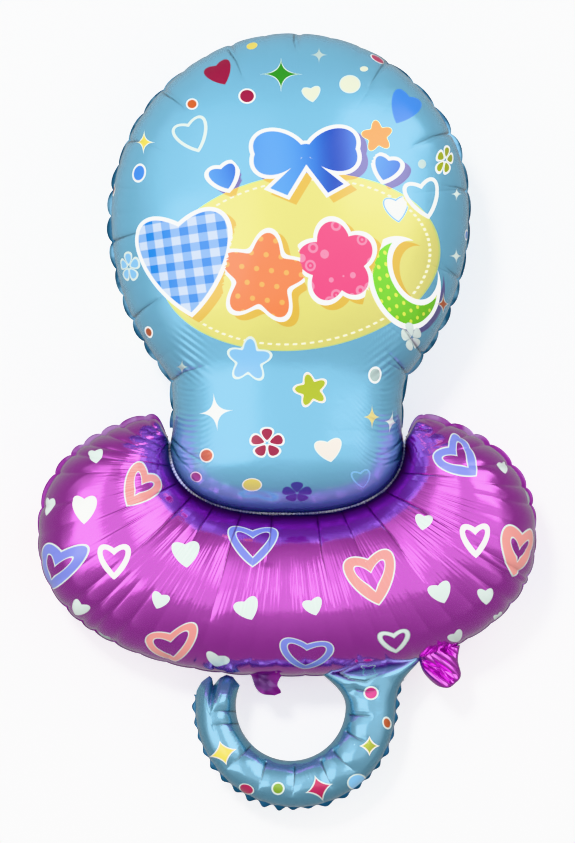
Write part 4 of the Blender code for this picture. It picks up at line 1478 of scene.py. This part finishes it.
def filling_neck():
    """The crushed filling neck: two arched sheets between its edges, whose heights are broken up into facets
    by a sum of folded waves."""
    left, right = (on_seam(smooth_route(route, FILLER_ROWS)) for route in NECK_EDGES)
    down = np.linspace(0.0, 1.0, FILLER_ROWS)[:, None]
    turn, v = (values[None, :] for values in arch(120))
    flat = beside(left, right - left, v)
    height = FILLER_HALF_DEPTH * np.sqrt(np.sin(turn)) * np.sqrt(smooth_step((1.0 - down) / 0.25))
    height[:, 0] = height[:, -1] = height[0] = height[-1] = 0.0
    sheets = []
    for side, seed, tile in ((1.0, 62, (0.0, 0.0, 0.49, 1.0)), (-1.0, 63, (0.51, 0.0, 1.0, 1.0))):
        crushed = facets(on_photo(flat), (25.0, 18.0, 12.0), (25.0 / 12.0, 1.5, 1.0), seed)
        lift = height + FILLER_CRUSH * (crushed - crushed.mean()) * smooth_step(height / 0.006)
        sheets.append((raised(flat, side * lift), side < 0, True, tile))
    return sheets


def capped(sheet, foot):
    """A sheet and the flat cap that closes it at the seam plane, as the grids of one closed mesh."""
    return [(sheet, False, True, (0.0, 0.0, 1.0, 0.95)), (foot, True, False, (0.0, 0.96, 0.2, 1.0))]


def add_key_light():
    """A small square light high over the balloon, which the film doesn't mirror."""
    light = bpy.data.lights.new("key light", "AREA")
    light.size, light.energy = KEY_SIZE, KEY_WATTS
    lamp = bpy.data.objects.new("key light", light)
    way = Vector(KEY_DIRECTION).normalized()
    lamp.location = Vector((0.0, 0.0, 0.1)) + way * KEY_DISTANCE
    lamp.rotation_euler = way.to_track_quat("Z", "Y").to_euler()
    lamp.visible_glossy = False
    bpy.context.scene.collection.objects.link(lamp)


def ramp(value, zero, one):
    """0 where the value is zero, 1 where it is one, straight between and level beyond."""
    return ((value - zero) / (one - zero)).at_least(0.0).at_most(1.0)


def set_world():
    """The studio all round, as brightness over the unit direction: dim walls, a bright ceiling that runs
    across from left to right with a soft end towards the top and a crisp one towards the foot, and brighter
    panels on it."""
    world = bpy.data.worlds.new("studio")
    world.use_nodes = True
    bpy.context.scene.world = world
    tree = world.node_tree
    place, split = tree.nodes.new("ShaderNodeTexCoord"), tree.nodes.new("ShaderNodeSeparateXYZ")
    tree.links.new(place.outputs["Generated"], split.inputs[0])
    x, y, z = (Wire(tree, out) for out in split.outputs)
    above = ramp(z, -0.02, 0.12)
    foot = ramp(y, -1.0, -0.55) * 0.36 + ramp(y, -0.50, -0.40) * 0.64
    ceiling = foot.at_most(ramp(y, 0.98, 0.28)) * ramp(abs(x), 1.03, 0.80)
    total = ceiling * above * CEILING_LIGHT + WALL_LIGHT
    for (x_low, x_high, y_low, y_high), strength in STUDIO_PANELS:
        across = ramp(x, x_low, x_low + PANEL_EDGE) * ramp(x, x_high, x_high - PANEL_EDGE)
        up = ramp(y, y_low, y_low + PANEL_EDGE) * ramp(y, y_high, y_high - PANEL_EDGE)
        total = total + across * up * above * strength
    tree.links.new(total.socket, tree.nodes["Background"].inputs["Strength"])
    tree.nodes["Background"].inputs["Color"].default_value = (1.0, 1.0, 1.0, 1.0)


def add_camera():
    """The camera, square to the seam plane and as far off as makes one photo pixel on it PIXEL wide."""
    lens = bpy.data.cameras.new("camera")
    lens.lens, lens.sensor_width = LENS, SENSOR
    lens.clip_end = 100.0
    camera = bpy.data.objects.new("camera", lens)
    middle = (IMAGE_SIZE / 2 - PHOTO_ORIGIN) * [PIXEL, -PIXEL]
    spot = in_row_frame(np.array([[middle[0], middle[1], VIEW_DISTANCE]]))[0]
    camera.matrix_world = Matrix.Translation(spot.tolist()) @ Matrix.Rotation(SEAM_TILT, 4, "X")
    bpy.context.scene.collection.objects.link(camera)
    bpy.context.scene.camera = camera


class BALLOON_OT_stage(bpy.types.Operator):
    """Sets up the camera, the soft lights and the plain pale floor"""

    bl_idname = "balloon.stage"
    bl_label = "Stage"

    def execute(self, context):
        add_camera()
        set_world()
        add_key_light()
        context.scene.view_settings.view_transform = "Khronos PBR Neutral"
        mesh = bpy.data.meshes.new("floor")
        corners = FLOOR_HALF_SIZE * np.array([(-1, -1, 0), (1, -1, 0), (1, 1, 0), (-1, 1, 0)])
        mesh.from_pydata(corners.tolist(), [], [(0, 1, 2, 3)])
        paint = Film("pale floor", context.scene.balloon_colours.floor, 0.0)
        paint.rough = paint.noise(3.0, 2.0) * 0.1 + 0.65
        paint.shader.inputs["Emission Color"].default_value = (1.0, 1.0, 1.0, 1.0)
        paint.shader.inputs["Emission Strength"].default_value = FLOOR_GLOW
        mesh.materials.append(paint.finish(coat=0.0))
        floor = bpy.data.objects.new("floor", mesh)
        context.scene.collection.objects.link(floor)
        floor.visible_glossy = False
        return {"FINISHED"}


class BALLOON_OT_teat(bpy.types.Operator):
    """Makes the teat's two printed sheets and its seam margin"""

    bl_idname = "balloon.teat"
    bl_label = "Teat"

    def execute(self, context):
        sizes, colours = context.scene.balloon_sizes, context.scene.balloon_colours
        blue = foil("blue foil with print", colours.blue_film, 0.24, 0.55, panel=True)
        for name, rows, side in (("teat_front", TEAT_ROWS, 1.0), ("teat_back", BACK_ROWS, -1.0)):
            mesh, corners = add_piece(name, capped(*teat_sheet(sizes, rows, side)), blue)
            pixels = printed_at(corners, mirrored=side < 0)
            print_on(mesh, pixels, corners, TEAT_MOTIFS)
            print_panel(mesh, pixels, corners)
        edge = margin_foil("blue seam margin", colours.blue_margin, (0.16, 0.36, 0.52))
        add_piece("teat_margin", teat_margin(sizes), edge)
        return {"FINISHED"}


class BALLOON_OT_shield(bpy.types.Operator):
    """Makes the shield's two printed sheets and its seam margin"""

    bl_idname = "balloon.shield"
    bl_label = "Shield"

    def execute(self, context):
        sizes, colours = context.scene.balloon_sizes, context.scene.balloon_colours
        magenta = foil("magenta foil with print", colours.magenta_film, 0.15, 0.94, gloss=1.68)
        for name, rows, side in (("shield_front", SHIELD_ROWS, 1.0), ("shield_back", BACK_ROWS, -1.0)):
            mesh, corners = add_piece(name, capped(*shield_sheet(sizes, rows, side)), magenta)
            print_on(mesh, printed_at(corners, mirrored=side < 0), corners, SHIELD_MOTIFS)
        edge = margin_foil("magenta seam margin", colours.magenta_margin, (0.30, 0.16, 0.36))
        add_piece("shield_margin", shield_margin(sizes), edge)
        return {"FINISHED"}


class BALLOON_OT_handle(bpy.types.Operator):
    """Makes the ring handle and its scalloped seam margin"""

    bl_idname = "balloon.handle"
    bl_label = "Handle"

    def execute(self, context):
        sizes, colours = context.scene.balloon_sizes, context.scene.balloon_colours
        # Painted shade: the handle's lacquer is the teat's blue film made darker, a shaded copy of the same
        # film.
        darker = tuple(0.88 * c for c in colours.blue_film)
        blue = foil("blue foil of the handle", darker, 0.18, 0.74, gloss=1.9)
        mesh, corners = add_piece("handle", handle_sheets(sizes), blue)
        print_on(mesh, printed_at(corners), corners, HANDLE_MOTIFS)
        edge = margin_foil("blue margin of the handle", colours.blue_margin, (0.04, 0.15, 0.30))
        add_piece("handle_margin", handle_margin(sizes), edge)
        return {"FINISHED"}


class BALLOON_OT_weld(bpy.types.Operator):
    """Makes the knurled weld between the teat and the shield"""

    bl_idname = "balloon.weld"
    bl_label = "Weld"

    def execute(self, context):
        film = margin_foil("weld film", (0.62, 0.66, 0.95), (0.90, 0.93, 1.0), metal=0.0)
        add_piece("weld_seam", weld_cord(context.scene.balloon_sizes), film)
        return {"FINISHED"}


class BALLOON_OT_tails(bpy.types.Operator):
    """Makes the flat tab and the crushed filling neck under the shield"""

    bl_idname = "balloon.tails"
    bl_label = "Tails"

    def execute(self, context):
        sizes, colours = context.scene.balloon_sizes, context.scene.balloon_colours
        # The tab takes the shield margin's dark colour, with paler painted highlight patches.
        film = margin_foil("tab film", colours.magenta_margin, (0.11, 0.04, 0.16))
        add_piece("tab", tab_sheet(sizes), film)
        film = foil("crushed magenta foil", colours.magenta_film, 0.16, 0.94, motifs=False, crinkle=0.3)
        add_piece("filling_neck", filling_neck(), film)
        return {"FINISHED"}


STEPS = (
    BALLOON_OT_stage, BALLOON_OT_teat, BALLOON_OT_shield, BALLOON_OT_handle, BALLOON_OT_weld,
    BALLOON_OT_tails,
)


class BALLOON_PT_panel(bpy.types.Panel):
    """Lists the balloon's sizes, colours and the steps that make it"""

    bl_label = "Foil balloon"
    bl_idname = "BALLOON_PT_panel"
    bl_space_type = "VIEW_3D"
    bl_region_type = "UI"
    bl_category = "Balloon"

    def draw(self, context):
        for group in (context.scene.balloon_sizes, context.scene.balloon_colours):
            for name in group.__annotations__:
                self.layout.prop(group, name)
        for step in STEPS:
            self.layout.operator(step.bl_idname)


CLASSES = (BalloonSizes, BalloonColours, *STEPS, BALLOON_PT_panel)


def register():
    """Registers the classes and hangs the two groups of settings on the scene."""
    for cls in CLASSES:
        bpy.utils.register_class(cls)
    bpy.types.Scene.balloon_sizes = bpy.props.PointerProperty(type=BalloonSizes)
    bpy.types.Scene.balloon_colours = bpy.props.PointerProperty(type=BalloonColours)


def unregister():
    """Takes the settings and the classes away again."""
    del bpy.types.Scene.balloon_colours
    del bpy.types.Scene.balloon_sizes
    for cls in reversed(CLASSES):
        bpy.utils.unregister_class(cls)


def main():
    """Registers the add-on's classes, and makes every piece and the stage."""
    register()
    for step in STEPS:
        area, name = step.bl_idname.split(".")
        getattr(getattr(bpy.ops, area), name)()


if __name__ == "__main__":
    main()
